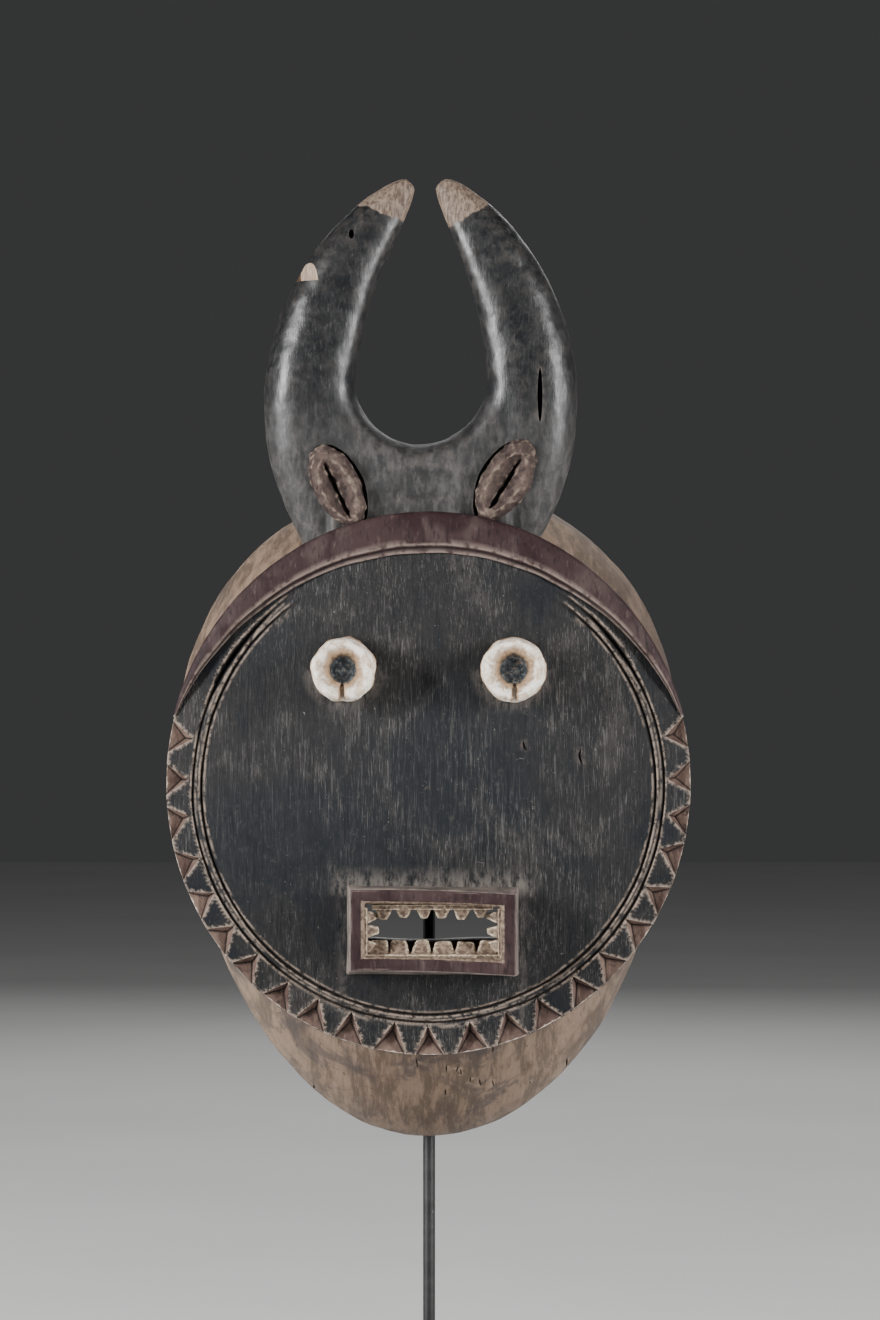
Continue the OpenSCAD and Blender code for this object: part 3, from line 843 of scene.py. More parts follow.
def make_face():
    """The round face board with its grooves, notches and mouth slot"""
    around = turns(368)
    rim = DOME_FRONT + carving().face_rise
    radii = [r * MM for r in spaced(1.2, 103.5, 2.4) + spaced(103.5, 112, 0.45)
             + spaced(112, 125.0, 1.3) + [125.0]]
    rings = []
    for radius in [r * MM for r in spaced(1.0, 124, 6)] + [124 * MM]:
        places = [face_place(radius, t) for t in around]
        hollow = 3.0 * MM * max(0, 1 - (radius / (98 * MM)) ** 2)
        rings.append([(x, BOARD_BACK - hollow, z + FACE_Z) for x, z in places])
    for share in (0.0, 0.12, 0.4, 0.7, 0.92):
        y = BOARD_BACK + share * (rim - BOARD_BACK)
        soft = 0.25 * MM if 0 < share < 0.9 else 0.8 * MM
        rings.append([(x, y, z + FACE_Z) for x, z in
                      (face_place(FACE_MEAN - soft, t) for t in around)])
    for radius in reversed(radii):
        ring = []
        for t in around:
            x, z = face_place(radius, t)
            y = dome_y(x, z) + groove_at(radius, t)
            if radius > 124.8 * MM:
                y += 0.3 * MM
            y += 0.35 * MM * wander((x, 0, z), 28 * MM, 3)
            ring.append((x, y, z + FACE_Z))
        rings.append(ring)
    board = lofted("face_board_carved", rings)
    board.data.materials.append(face_paint())
    cutters = notch_cutters(cut_wood())
    cut(board, cutters)
    cut(board, mouth_cutter())
    nicks = (((44.5, 18.0), 20, 2.6), ((70.5, 13.0), 6, 4.0))
    for place, lean, size in nicks:
        cut(board, nick_cutter(place, lean, size * MM))
    hollow_faces(board)
    refine(board, 1.3 * MM, 111 * MM)
    mark_wear(board, 30, 1, 1.5 * MM)
    fade_marks(board, [(x * MM, z * MM) for (x, z), _, _ in nicks], 12 * MM)
    mark_halo(board)
    return finished(board, "face_board_carved", "mask", ["face_board"])


def refine(board, longest, beyond):
    """Splits the long edges that the cutting left, so that wear can follow an edge closely"""
    pick(board)
    mesh = edit(board, "FACE")
    for face in mesh.faces:
        middle = face.calc_center_median()
        rim = math.hypot(middle.x, middle.z - FACE_Z) > beyond
        if middle.y < BOARD_BACK - 8 * MM and (rim or len(face.verts) != 4):
            face.select = True
    bmesh.update_edit_mesh(board.data)
    bpy.ops.mesh.quads_convert_to_tris()
    bpy.ops.mesh.select_mode(type="EDGE")
    for _ in range(3):
        mesh = bmesh.from_edit_mesh(board.data)
        inside = [edge for edge in mesh.edges if all(
            len(face.verts) == 3 and face.calc_center_median().y < BOARD_BACK - 8 * MM
            for face in edge.link_faces)]
        bpy.ops.mesh.select_all(action="DESELECT")
        for edge in inside:
            if edge.calc_length() > longest:
                edge.select = True
        mesh.select_flush_mode()
        bmesh.update_edit_mesh(board.data)
        bpy.ops.mesh.subdivide(number_cuts=1)
        mesh = bmesh.from_edit_mesh(board.data)
        bmesh.ops.triangulate(mesh, faces=[face for face in mesh.faces if len(face.verts) > 4])
        bmesh.update_edit_mesh(board.data)
    bpy.ops.object.mode_set(mode="OBJECT")


def mark_halo(board):
    """The paint is rubbed thin above and beside the mouth and under the eyes"""
    middle, size = mouth_place()
    eyes = [eye_middle(side) for side in (-1, 1)]
    values = []
    for vert in board.data.vertices:
        x, z = vert.co.x, vert.co.z
        over = z - middle.z - size.z / 2
        near = max(0, abs(x - middle.x) - size.x / 2)
        value = max(0, 1 - math.hypot(max(0, over), near) / (9 * MM)) if over > -5 * MM else 0
        beside = abs(x - middle.x) - size.x / 2
        if over < 0 and beside > 0:
            value = max(value, 0.45 * (1 - beside / (5 * MM)))
        for ex, ez in eyes:
            r = math.hypot(x - ex, z - ez)
            value = max(value, 0.75 - (r - 14 * MM) / (9 * MM)) if z < ez else value
        values.append(max(0, min(1, value)))
    write_mark(board, "halo", values)


def hollow_faces(board):
    """The back of the face board shows the dark wood of the hollow"""
    board.data.materials.append(hollow_wood())
    last = len(board.data.materials) - 1
    for face in board.data.polygons:
        if face.center.y > BOARD_BACK - 6 * MM and face.normal.y > 0.6:
            face.material_index = last


def notch_cutters(material):
    """Three-sided chips, modelled once and set round the rim with a hand's differences"""
    rng = random.Random(carving().seed)
    count = carving().notch_count
    first, last = math.radians(170), math.radians(371)
    step = (last - first) / (count - 1)
    outer = FACE_MEAN + 1.6 * MM
    chips = []
    for index in range(count):
        angle = first + index * step + math.radians(rng.uniform(-0.3, 0.3))
        left = angle - step * rng.uniform(0.40, 0.465)
        right = angle + step * rng.uniform(0.40, 0.465)
        lean = angle + step * rng.uniform(-0.10, 0.10)
        tip = (111.9 + rng.uniform(-0.5, 1.4)) * MM
        middle = tip + (4.0 + rng.uniform(-0.7, 1.2)) * MM
        floor = rng.uniform(0.7, 1.3) * MM
        deselect()
        bpy.ops.mesh.primitive_cylinder_add(vertices=3, radius=0.01, depth=0.01)
        chip = bpy.context.object
        places = ((tip, lean), (outer, left), (outer, right))
        below = [vert for vert in chip.data.vertices if vert.co.z < 0]
        above = [vert for vert in chip.data.vertices if vert.co.z > 0]
        for level, sinks in ((below, (0.1 * MM, floor, floor * rng.uniform(0.8, 1.2))),
                             (above, (-4 * MM,) * 3)):
            for vert, (radius, turn), sink in zip(level, places, sinks):
                x, z = face_place(radius, turn)
                vert.co = (x, dome_y(*face_place(min(radius, FACE_MEAN), turn)) + sink, z + FACE_Z)
        chip.location = (0, 0, 0)
        mesh = edit(chip, "FACE")
        floor_face = max((face for face in mesh.faces if len(face.verts) == 3),
                         key=lambda face: face.calc_center_median().y)
        floor_face.select = True
        bmesh.update_edit_mesh(chip.data)
        bpy.ops.mesh.poke()
        mesh = bmesh.from_edit_mesh(chip.data)
        x, z = face_place(middle, (lean + angle) / 2)
        for vert in mesh.verts:
            if all(face.select for face in vert.link_faces):
                deep = carving().notch_depth * rng.uniform(0.85, 1.1)
                vert.co = (x, dome_y(x, z) + deep, z + FACE_Z)
        bpy.ops.mesh.select_all(action="SELECT")
        bpy.ops.mesh.subdivide(number_cuts=3, fractal=0.35, seed=index)
        bpy.ops.mesh.normals_make_consistent(inside=False)
        bpy.ops.object.mode_set(mode="OBJECT")
        chips.append(chip)
    chips = join(chips)
    chips.data.materials.append(material)
    return chips


def mouth_place():
    """Middle and size of the mouth frame"""
    low, high = (Vector(c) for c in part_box("mouth_frame"))
    return (low + high) / 2, high - low


SLOT_HALF = (32.2 * MM, 12.4 * MM)      # half the mouth's open slot, across and down
LEDGE = 2.4 * MM                        # thickness of the wood that a row of teeth grows from


def mouth_cutter():
    """The opening behind the mouth frame"""
    middle, _ = mouth_place()
    cutter = block((middle.x, (DOME_FRONT + BOARD_BACK) / 2, middle.z),
                   (66 * MM, 60 * MM, 26 * MM))
    cutter.data.materials.append(hollow_wood())
    return cutter


def eye_middle(side):
    """Where an eye sits on the face"""
    low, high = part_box("eye_left" if side < 0 else "eye_right")
    return (low[0] + high[0]) / 2, (low[2] + high[2]) / 2


def nick_cutter(place, lean, long):
    """A short curved cut left by a slipped blade"""
    x, z = place[0] * MM, place[1] * MM
    middle = Vector((x, dome_y(x, z), z + FACE_Z))
    cutter = lens(middle, (0.55 * MM, 1.1 * MM, long))
    for vert in cutter.data.vertices:
        drop = (vert.co.z - middle.z) / long
        vert.co.x += 0.30 * long * drop * drop
    pick(cutter)
    bpy.ops.transform.rotate(value=math.radians(lean), orient_axis="Y", center_override=middle)
    settle()
    cutter.data.materials.append(bpy.data.materials["face_paint"])
    return cutter


# -- brow band

def brow_inner(angle):
    """Distance of the band's lower edge from the middle of the face"""
    drop, radius = 21.6 * MM, 129.8 * MM
    fall = drop * math.sin(angle)
    return -fall + math.sqrt(fall ** 2 + radius ** 2 - drop ** 2)


# Share of the band's width from its lower edge, and share of its height
BROW_SHAPE = ((0.0, -0.5), (0.0, 0.10), (0.01, 0.34), (0.05, 0.42), (0.13, 0.44), (0.16, 0.66),
              (0.20, 0.90), (0.26, 0.98), (0.40, 1.04), (0.55, 1.05), (0.70, 1.03), (0.84, 0.98),
              (0.92, 0.92), (0.97, 0.80), (0.995, 0.60), (1.0, 0.30), (1.0, 0.0), (1.0, -0.5))


def along_shape(shape, count):
    """Evenly spaced points along a line of points"""
    lengths = [0.0]
    for a, b in zip(shape, shape[1:]):
        lengths.append(lengths[-1] + math.dist(a, b))
    points = []
    for i in range(count):
        want = lengths[-1] * i / (count - 1)
        k = max(j for j in range(len(shape) - 1) if lengths[j] <= want + 1e-12)
        share = (want - lengths[k]) / max(1e-9, lengths[k + 1] - lengths[k])
        points.append([p + (q - p) * share for p, q in zip(shape[k], shape[k + 1])])
    return points


def make_brow():
    """The raised band, thickest over the forehead and tapering at both ends"""
    shape = along_shape(BROW_SHAPE, 34)
    first, last = math.radians(14.8), math.radians(165.2)
    count = 230
    rings = []
    for i in range(count):
        angle = first + (last - first) * i / (count - 1)
        outer = math.dist((0, 0), face_place(FACE_MEAN - 0.1 * MM, angle))
        inner = min(brow_inner(angle), outer - 0.4 * MM)
        inner += 0.5 * MM * wander((math.cos(angle), math.sin(angle), 0), 0.12, 4) * min(
            1, (outer - inner) / (4 * MM))
        height = carving().brow_proud * min(1, (outer - inner) / (5 * MM))
        ring = []
        for across, up in shape:
            radius = inner + (outer - inner) * across
            x, z = radius * math.cos(angle), radius * math.sin(angle)
            y = dome_y(x, z) - height * up
            if up > 0.2:
                y += 0.4 * MM * wander((x, 0, z), 14 * MM, 2) * height / (5 * MM)
            ring.append((x, y, z + FACE_Z))
        rings.append(ring)
    band = lofted("brow_band_carved", rings)
    uneven(band, 5 * MM, 0.25 * MM)
    mark_wear(band, 34, 1, 1.2 * MM)
    return finished(band, "brow_band_carved", "mask", ["brow_band"],
                    [brown_paint("brown_paint", 0.5)])


# -- eyes

def make_eye(side):
    """A tube eye with a shallow pupil and a slot below it"""
    x, z = eye_middle(side)
    name = "left" if side < 0 else "right"
    low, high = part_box("eye_" + name)
    front, back = low[1], high[1]
    pupil = carving().pupil + (0.25 * MM if side > 0 else 0)
    # Radius and depth behind the front, from the middle of the pupil round the front to the back
    cup = ((-0.8, 6.3), (-0.1, 5.8), (0, 5.2), (0.5, 4.6))
    tube = ((7.6, 3.3), (9.3, 2.0), (10.8, 0.8), (12.0, 0.15), (13.0, 0.5), (13.9, 1.8),
            (14.3, 5), (14.7, 12), (15.2, 20))
    shape = [(0.8 * MM, 6.0 * MM)] + [(pupil + r * MM, depth * MM) for r, depth in cup]
    shape += [(r * MM, depth * MM) for r, depth in tube] + [(15.4 * MM, back - front)]
    points = along_shape(shape, 64)
    rings = []
    for radius, depth in points:
        ring = []
        for t in turns(96):
            facet = 1 + 0.055 * wander((math.cos(t), math.sin(t), depth * 12), 0.42, 3 + side)
            if radius < 6.2 * MM:
                facet = 1 + 0.08 * wander((math.cos(t), math.sin(t), 0), 0.6, 8 + side)
            r = radius * facet
            ring.append((x + r * math.cos(t), front + depth, z + r * math.sin(t)))
        rings.append(ring)
    eye = lofted("eye", rings)
    slot = block((x + 0.4 * MM * side, front + 1 * MM, z - 11.5 * MM), (1.9 * MM, 9 * MM, 13 * MM))
    for vert in slot.data.vertices:
        if vert.co.z < z - 11 * MM:
            vert.co.x += (vert.co.x - x) * 0.25
    bpy.ops.object.mode_set(mode="EDIT")
    bpy.ops.mesh.select_all(action="SELECT")
    bpy.ops.mesh.subdivide(number_cuts=5, fractal=0.25, seed=side + 5)
    bpy.ops.object.mode_set(mode="OBJECT")
    cut(eye, slot)
    if side > 0:
        for dx, dz, size in ((15.0, -6.5, 3.0), (12.5, -10.5, 2.6)):
            deselect()
            bpy.ops.mesh.primitive_cube_add(size=size * MM, rotation=(0.5, 0.4, 0.3),
                                            location=(x + dx * MM, front + 1.5 * MM, z + dz * MM))
            cut(eye, bpy.context.object)
    modify(eye, "REMESH", mode="VOXEL", voxel_size=0.42 * MM)
    modify(eye, "SMOOTH", factor=0.5, iterations=3)
    uneven(eye, 4 * MM, 1.1 * MM)
    uneven(eye, 1.4 * MM, 0.35 * MM)
    mark_curve(eye, 1.0 * MM, 0.16 * MM)
    stain_and_shade, painted = [], []
    for vert in eye.data.vertices:
        dx, dz = vert.co.x - x, vert.co.z - z
        r = math.hypot(dx, dz)
        depth = vert.co.y - front
        # painted shade: the upper side of the dished ring faces down, so it is given more brown
        upper = 0.16 * max(0, dz / max(r, MM))
        value = 1.0 + upper - (r - pupil) / (7.5 * MM)
        if dz < -pupil:
            value = max(value, 0.82 - (abs(dx - 0.4 * MM * side) - 0.9 * MM) / (3.0 * MM))
        if depth > 5 * MM and r > pupil + 2 * MM:
            value = 0.15 + max(0, depth - 9 * MM) / (14 * MM)
        stain_and_shade.append(max(0, min(1.3, value)))
        edge = 1 - (r - pupil - 0.2 * MM) / (0.8 * MM) if depth < 9 * MM else 0
        painted.append(max(0, min(1, edge)))
    write_mark(eye, "stain_and_shade", stain_and_shade)
    write_mark(eye, "pupil", painted)
    return finished(eye, "eye_%s_carved" % name, "mask", ["eye_" + name],
                    [bpy.data.materials["white_clay"]])


# -- mouth

def make_mouth():
    """The frame: a box with a bevelled rim and an open slot"""
    middle, size = mouth_place()
    low, high = (Vector(c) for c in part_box("mouth_frame"))
    depth = high.y - low.y
    box = block(middle, size)
    box.data.materials.append(wall_paint())
    box.data.materials.append(brown_paint("mouth_paint", 0.25))
    box.data.materials.append(tooth_white())
    mesh = edit(box, "FACE")
    mesh.faces.ensure_lookup_table()
    for face in mesh.faces:
        if face.normal.y < -0.9:
            face.select = True
            face.material_index = 1
    bmesh.update_edit_mesh(box.data)
    bpy.ops.transform.resize(value=((size.x - 4.6 * MM) / size.x, 1, (size.z - 4.6 * MM) / size.z),
                             center_override=(middle.x, low.y, middle.z))
    bpy.ops.mesh.inset(thickness=5.6 * MM, depth=0)
    mesh = bmesh.from_edit_mesh(box.data)
    for face in mesh.faces:
        if face.select:
            face.material_index = 2
    bmesh.update_edit_mesh(box.data)
    bpy.ops.mesh.inset(thickness=1.3 * MM, depth=-1.4 * MM)
    bpy.ops.mesh.extrude_region_move(TRANSFORM_OT_translate={"value": (0, depth - 0.6 * MM, 0)})
    mesh = bmesh.from_edit_mesh(box.data)
    for face in mesh.faces:
        if face.normal.y > 0.9 and not face.select:
            face.select = True
            face.material_index = 0
    bmesh.update_edit_mesh(box.data)
    bpy.ops.mesh.bridge_edge_loops()
    bpy.ops.mesh.select_all(action="SELECT")
    bpy.ops.mesh.normals_make_consistent(inside=False)
    bpy.ops.object.mode_set(mode="OBJECT")
    modify(box, "BEVEL", width=0.9 * MM, segments=3, limit_method="ANGLE",
           angle_limit=math.radians(30), material=-1)
    modify(box, "SUBSURF", subdivision_type="SIMPLE", levels=4, render_levels=4)
    for vert in box.data.vertices:
        across = (vert.co.x - middle.x) / (size.x / 2)
        front = (high.y - vert.co.y) / depth
        vert.co.z += (0.9 * MM * (1 - across * across) - 1.2 * MM * across) * front
    uneven(box, 14 * MM, 0.7 * MM)
    uneven(box, 3 * MM, 0.22 * MM)
    mark_wear(box, 17, 1, 1.2 * MM)
    return finished(box, "mouth_frame_carved", "mask", ["mouth_frame"])


def tooth(wide, narrow, long, deep, lean, rng):
    """One tooth at the origin: root at the top, point down, leaning back from its root"""
    piece = block((0, 0, -long / 2), (wide, deep, long))
    for vert in piece.data.vertices:
        if vert.co.z < -long / 2:
            vert.co.x *= narrow / wide
            vert.co.x += rng.uniform(-0.06, 0.06) * wide
            vert.co.y = vert.co.y * 0.40 + lean
            vert.co.z += rng.uniform(-0.06, 0.06) * long
    modify(piece, "BEVEL", width=0.09 * wide, segments=2, limit_method="NONE")
    modify(piece, "SUBSURF", subdivision_type="SIMPLE", levels=2, render_levels=2)
    uneven(piece, 3 * MM, 0.35 * MM)
    return piece


def tooth_row(node, count, width, wide_share, narrow_share, long, corner, direction, turn,
              seed, lean):
    """A row of like teeth along a side of the mouth, each a little different"""
    rng = random.Random(seed)
    middle, _ = mouth_place()
    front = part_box(node)[0][1]
    pitch = width / count
    teeth = []
    for index in range(count):
        wide = pitch * wide_share * rng.uniform(0.93, 1.06)
        piece = tooth(wide, wide * narrow_share * rng.uniform(0.85, 1.15),
                      long * rng.uniform(0.92, 1.08), 6.0 * MM, lean, rng)
        along = (index + 0.5) * pitch - width / 2 + rng.uniform(-0.03, 0.03) * pitch
        pick(piece)
        bpy.ops.transform.rotate(value=math.radians(turn + rng.uniform(-4, 4)), orient_axis="Y",
                                 center_override=(0, 0, 0))
        piece.location = (middle.x + corner[0] + direction[0] * along, front + corner[2],
                          middle.z + corner[1] + direction[1] * along)
        settle()
        teeth.append(piece)
    ledge = block((middle.x + corner[0], front + corner[2], middle.z + corner[1]),
                  (width * abs(direction[0]) + LEDGE, 5.4 * MM, width * abs(direction[1]) + LEDGE))
    row = join([ledge] + teeth)
    modify(row, "REMESH", mode="VOXEL", voxel_size=0.34 * MM)
    modify(row, "SMOOTH", factor=0.5, iterations=2)
    uneven(row, 3 * MM, 0.5 * MM)
    uneven(row, 1.2 * MM, 0.22 * MM)
    mark_curve(row, 1.0 * MM, 0.22 * MM)
    return finished(row, node + "_carved", "mask", [node],
                    [bpy.data.materials["chalky_teeth"]])


def make_teeth():
    """Upper and lower rows of six and a row of three at each side"""
    half_w, half_h = SLOT_HALF
    tooth_row("teeth_upper", 6, 54 * MM, 0.95, 0.40, 5.6 * MM,
              (0, half_h - 0.9 * MM, 4.0 * MM), (1, 0), 0, 11, 1.0 * MM)
    tooth_row("teeth_lower", 6, 61 * MM, 1.05, 0.64, 7.2 * MM,
              (0, -half_h + 0.7 * MM, 3.0 * MM), (1, 0), 180, 12, 4.0 * MM)
    tooth_row("teeth_left", 3, 20 * MM, 1.0, 0.36, 6.4 * MM,
              (-half_w + 0.7 * MM, 0, 3.0 * MM), (0, 1), 90, 13, 4.0 * MM)
    tooth_row("teeth_right", 3, 20 * MM, 1.0, 0.36, 6.4 * MM,
              (half_w - 0.7 * MM, 0, 3.0 * MM), (0, 1), -90, 14, 4.0 * MM)


# -- horns, crest and ears

WIDEST = 0.42
HORN_HALF = 21.3 * MM
HORN_PATH = ((-43, 119), (-63, 175), (-55, 235), (-7, 284))
HORN_LEAN = 2.5


def horn_path(side):
    """The four points that a horn's curve is drawn through"""
    path = [Vector(p) for p in HORN_PATH]
    path[2].x -= side * HORN_LEAN / 2
    path[3].x -= side * HORN_LEAN
    return path


def on_path(path, t):
    """Place and way ahead at a share of the curve"""
    a, b, c, d = path
    place = (1 - t) ** 3 * a + 3 * t * (1 - t) ** 2 * b + 3 * t * t * (1 - t) * c + t ** 3 * d
    ahead = 3 * (1 - t) ** 2 * (b - a) + 6 * t * (1 - t) * (c - b) + 3 * t * t * (d - c)
    return place * MM, ahead.normalized()


def horn_width(t):
    """Half the width of a horn, widest below the middle"""
    if t < WIDEST:
        return HORN_HALF * (1 - 0.34 * ((WIDEST - t) / WIDEST) ** 2)
    return HORN_HALF * math.sqrt(max(0.0, 1 - ((t - WIDEST) / (1.01 - WIDEST)) ** 1.5))


def horn_form(side):
    """A horn lofted along its curve: flat in front, broad and round outside, crisper inside"""
    rows = 44
    rings = []
    path = horn_path(side)
    for row in range(rows):
        t = -0.12 + 1.12 * (row / (rows - 1))
        place, ahead = on_path(path, t)
        half = horn_width(max(t, 0))
        deep = half * 0.80 + 1.2 * MM
        ring = []
        for u in turns(40):
            power = 2 / (2.75 + 0.65 * math.cos(u))
            across = math.copysign(abs(math.cos(u)) ** power, math.cos(u)) * half
            into = math.copysign(abs(math.sin(u)) ** power, math.sin(u)) * deep
            x = place.x + ahead.y * across
            z = place.y - ahead.x * across
            if side > 0:
                x = -x
            ring.append((CREST_X + x, CREST_Y + into, FACE_Z + z))
        rings.append(ring)
    return lofted("horn_form", rings)


def crest_form():
    """The block between the horns, with its round saddle and a soft hollow in front"""
    crest_top = CREST_HIGH.z
    low, high = FACE_Z + 95 * MM, crest_top - 9 * MM
    crest = block((CREST_X, CREST_Y, (low + high) / 2), (84 * MM, 33 * MM, high - low))
    rings = []
    for step in range(-12, 13):
        away = abs(step) / 12
        radius = carving().saddle + 7 * MM * away ** 2.2
        rings.append([(CREST_X + radius * math.cos(t), CREST_Y + step / 12 * 18 * MM,
                       crest_top + radius * math.sin(t)) for t in turns(96)])
    cut(crest, lofted("saddle", rings))
    deselect()
    bpy.ops.mesh.primitive_uv_sphere_add(segments=48, ring_count=32, radius=1,
                                         location=(CREST_X, CREST_Y - 27 * MM, FACE_Z + 141 * MM),
                                         scale=(30 * MM, 14 * MM, 13 * MM))
    hollow = bpy.context.object
    settle()
    cut(crest, hollow)
    return crest


# Middle of each ear from the middle of the crest, in millimetres, and its lean in degrees
EAR_PLACES = {-1: ((-38.5, 139), 25), 1: ((40, 142), -31)}
EAR_HALF = (11.4 * MM, 21.5 * MM)


def ear_place(side):
    """Middle and lean of an ear"""
    (dx, dz), lean = EAR_PLACES[side]
    place = Vector((CREST_X + dx * MM, CREST_LOW.y - 0.5 * MM, FACE_Z + dz * MM))
    return place, math.radians(lean)


def ear_shape(side, deep, shift=0.0):
    """A leaf, blunt above and narrower below, leaning away from the middle"""
    place, lean = ear_place(side)
    deselect()
    bpy.ops.mesh.primitive_uv_sphere_add(segments=96, ring_count=64, radius=1, location=place)
    leaf = bpy.context.object
    settle()
    for vert in leaf.data.vertices:
        unit = vert.co - place
        narrow = 1 - 0.30 * max(0, -unit.z) ** 1.5 - 0.10 * max(0, unit.z) ** 2
        wide = math.copysign(abs(unit.x) ** 0.85, unit.x) * EAR_HALF[0] * narrow
        vert.co = place + Vector((wide, unit.y * deep, unit.z * EAR_HALF[1]))
    pick(leaf)
    bpy.ops.transform.rotate(value=lean, orient_axis="Y", center_override=place)
    bpy.ops.transform.translate(value=(-side * shift, 0, 0))
    settle()
    return leaf


def make_ears():
    """Each ear is a leaf with a raised rim, two planes that slope in, and a slit between them"""
    for side in (-1, 1):
        name = "left" if side < 0 else "right"
        ear = ear_shape(side, 8.5 * MM)
        place, lean = ear_place(side)
        valleys = ((side * 0.4, 9.6, 10.5, 19.0, 7.6), (side * 0.8, 1.5, 9.0, 15.0, 12.5))
        for dx, wide, deep, tall, back in valleys:
            middle = place + Vector((dx * MM, -(deep + 8.5 - back) * MM, -1.5 * MM))
            valley = lens(middle, (wide * MM, deep * MM, tall * MM))
            for vert in valley.data.vertices:
                share = abs(vert.co.x - middle.x) / (wide * MM)
                vert.co.y = middle.y + (vert.co.y - middle.y) * (1 - 0.55 * share)
            pick(valley)
            bpy.ops.transform.rotate(value=lean * 1.04, orient_axis="Y", center_override=place)
            settle()
            cut(ear, valley)
        modify(ear, "REMESH", mode="VOXEL", voxel_size=0.5 * MM)
        modify(ear, "SMOOTH", factor=0.5, iterations=2)
        uneven(ear, 8 * MM, 2.6 * MM)
        uneven(ear, 3.4 * MM, 1.1 * MM)
        mark_curve(ear, 1.6 * MM, 0.35 * MM)
        finished(ear, "ear_%s_carved" % name, "mask", ["ear_" + name], [ear_wood()])


def footing():
    """What the horns and crest sit in: a little inside the collar and the face board"""
    rings = []
    for row in range(9):
        t = row / 8
        rings.append([collar_place(t, turn, 5 * MM) for turn in turns(96)])
    body = lofted("footing", rings)
    rings = []
    for y in (DOME_FRONT - 2 * MM, BOARD_BACK + 1 * MM):
        rings.append([(x, y, z + FACE_Z) for x, z in
                      (face_place(FACE_MEAN - 2.5 * MM, turn) for turn in turns(128))])
    board = lofted("footing_board", rings)
    return body, board


def on_horn(x, y, z):
    """A place in millimetres, from the middle of the horns' depth at the height of the face"""
    return x * MM, CREST_Y + y * MM, FACE_Z + z * MM


def make_horns():
    """One carved form for the horns and the crest, parted at the joints"""
    form = join([horn_form(-1), horn_form(1), crest_form()])
    modify(form, "REMESH", mode="VOXEL", voxel_size=1.15 * MM)
    modify(form, "SMOOTH", factor=0.6, iterations=12)
    group = form.vertex_groups.new(name="saddle")
    for vert in form.data.vertices:
        x, z = vert.co.x - CREST_X, vert.co.z - CREST_HIGH.z
        away = math.hypot(x, z)
        corner = math.hypot(abs(x) - carving().saddle, z + 9 * MM)
        weight = max(0, min(1, 1.6 - abs(away - 33 * MM) / (7 * MM))) if z < 0 else 0
        weight = max(weight * 0.55, min(1, max(0, 1.7 - corner / (9 * MM))))
        if weight > 0:
            group.add([vert.index], weight, "REPLACE")
    modify(form, "SMOOTH", factor=0.9, iterations=70, vertex_group="saddle")
    uneven(form, 30 * MM, 1.6 * MM)
    uneven(form, 9 * MM, 0.55 * MM)
    uneven(form, 3 * MM, 0.16 * MM)
    form.data.materials.clear()
    form.data.materials.append(horn_paint())
    break_wood = fresh_break()
    for side in (-1, 1):
        pocket = ear_shape(side, 8.8 * MM, 1.3 * MM)
        pocket.data.materials.append(bpy.data.materials["horn_paint"])
        cut(form, pocket)
    # A splinter lost from the left horn, an old worm hole and a drying crack
    deselect()
    bpy.ops.mesh.primitive_cube_add(size=20 * MM, rotation=(0, 0, math.radians(28)),
                                    location=on_horn(-64.4, -12.5, 246.6))
    chip = bpy.context.object
    chip.data.materials.append(break_wood)
    cut(form, chip)
    hole = lens(on_horn(-36.3, -13, 258.6), (1.3 * MM, 5 * MM, 2.4 * MM))
    crack = lens(on_horn(52.3, -15, 182.5), (1.2 * MM, 11 * MM, 13.2 * MM))
    for cutter in (hole, crack):
        cutter.data.materials.append(bpy.data.materials["horn_paint"])
        cut(form, cutter)
    for body in footing():
        cut(form, body)
    mark_curve(form, 3.0 * MM, 0.9 * MM)
    half = (CREST_HIGH.x - CREST_LOW.x) / 2 - 12 * MM
    crest, left, right = (duplicate(form, name) for name in ("crest", "left", "right"))
    for piece, operation in ((crest, "INTERSECT"), (left, "DIFFERENCE"), (right, "DIFFERENCE")):
        cut(piece, block((CREST_X, CREST_Y, CREST_HIGH.z - 0.1), (2 * half, 0.2, 0.2)), operation)
    for piece, side in ((left, -1), (right, 1)):
        cut(piece, block((CREST_X - side * 0.1, CREST_Y, CREST_HIGH.z), (0.2, 0.3, 0.5)))
    for piece, name, node in ((crest, "crest_carved", "crest_block"),
                              (left, "horn_left_carved", "horn_left"),
                              (right, "horn_right_carved", "horn_right")):
        copy_marks(piece, form)
        finished(piece, name, "mask", [node])
    bpy.data.objects.remove(form)


# -- collar and bite bar

# The collar's half width, its depth below its middle, and the height of that middle over the
# face's: each at the face board, and how much it grows by the back edge, in millimetres
COLLAR_ACROSS, COLLAR_DOWN, COLLAR_MIDDLE = (112, 10.5), (121, 81), (5, 20)


def collar_place(t, turn, inset):
    """A place on the collar: t is 0 at the face board and 1 at the back edge"""
    flare = math.sin(math.pi / 2 * t)
    across = (COLLAR_ACROSS[0] + COLLAR_ACROSS[1] * flare) * MM - inset
    down = (COLLAR_DOWN[0] + COLLAR_DOWN[1] * flare) * MM - inset
    middle = (COLLAR_MIDDLE[0] + COLLAR_MIDDLE[1] * flare) * MM
    y = BOARD_BACK + (COLLAR_BACK - BOARD_BACK) * t
    reach = across if math.sin(turn) > 0 else down
    return across * math.cos(turn), y, FACE_Z + middle + reach * math.sin(turn)


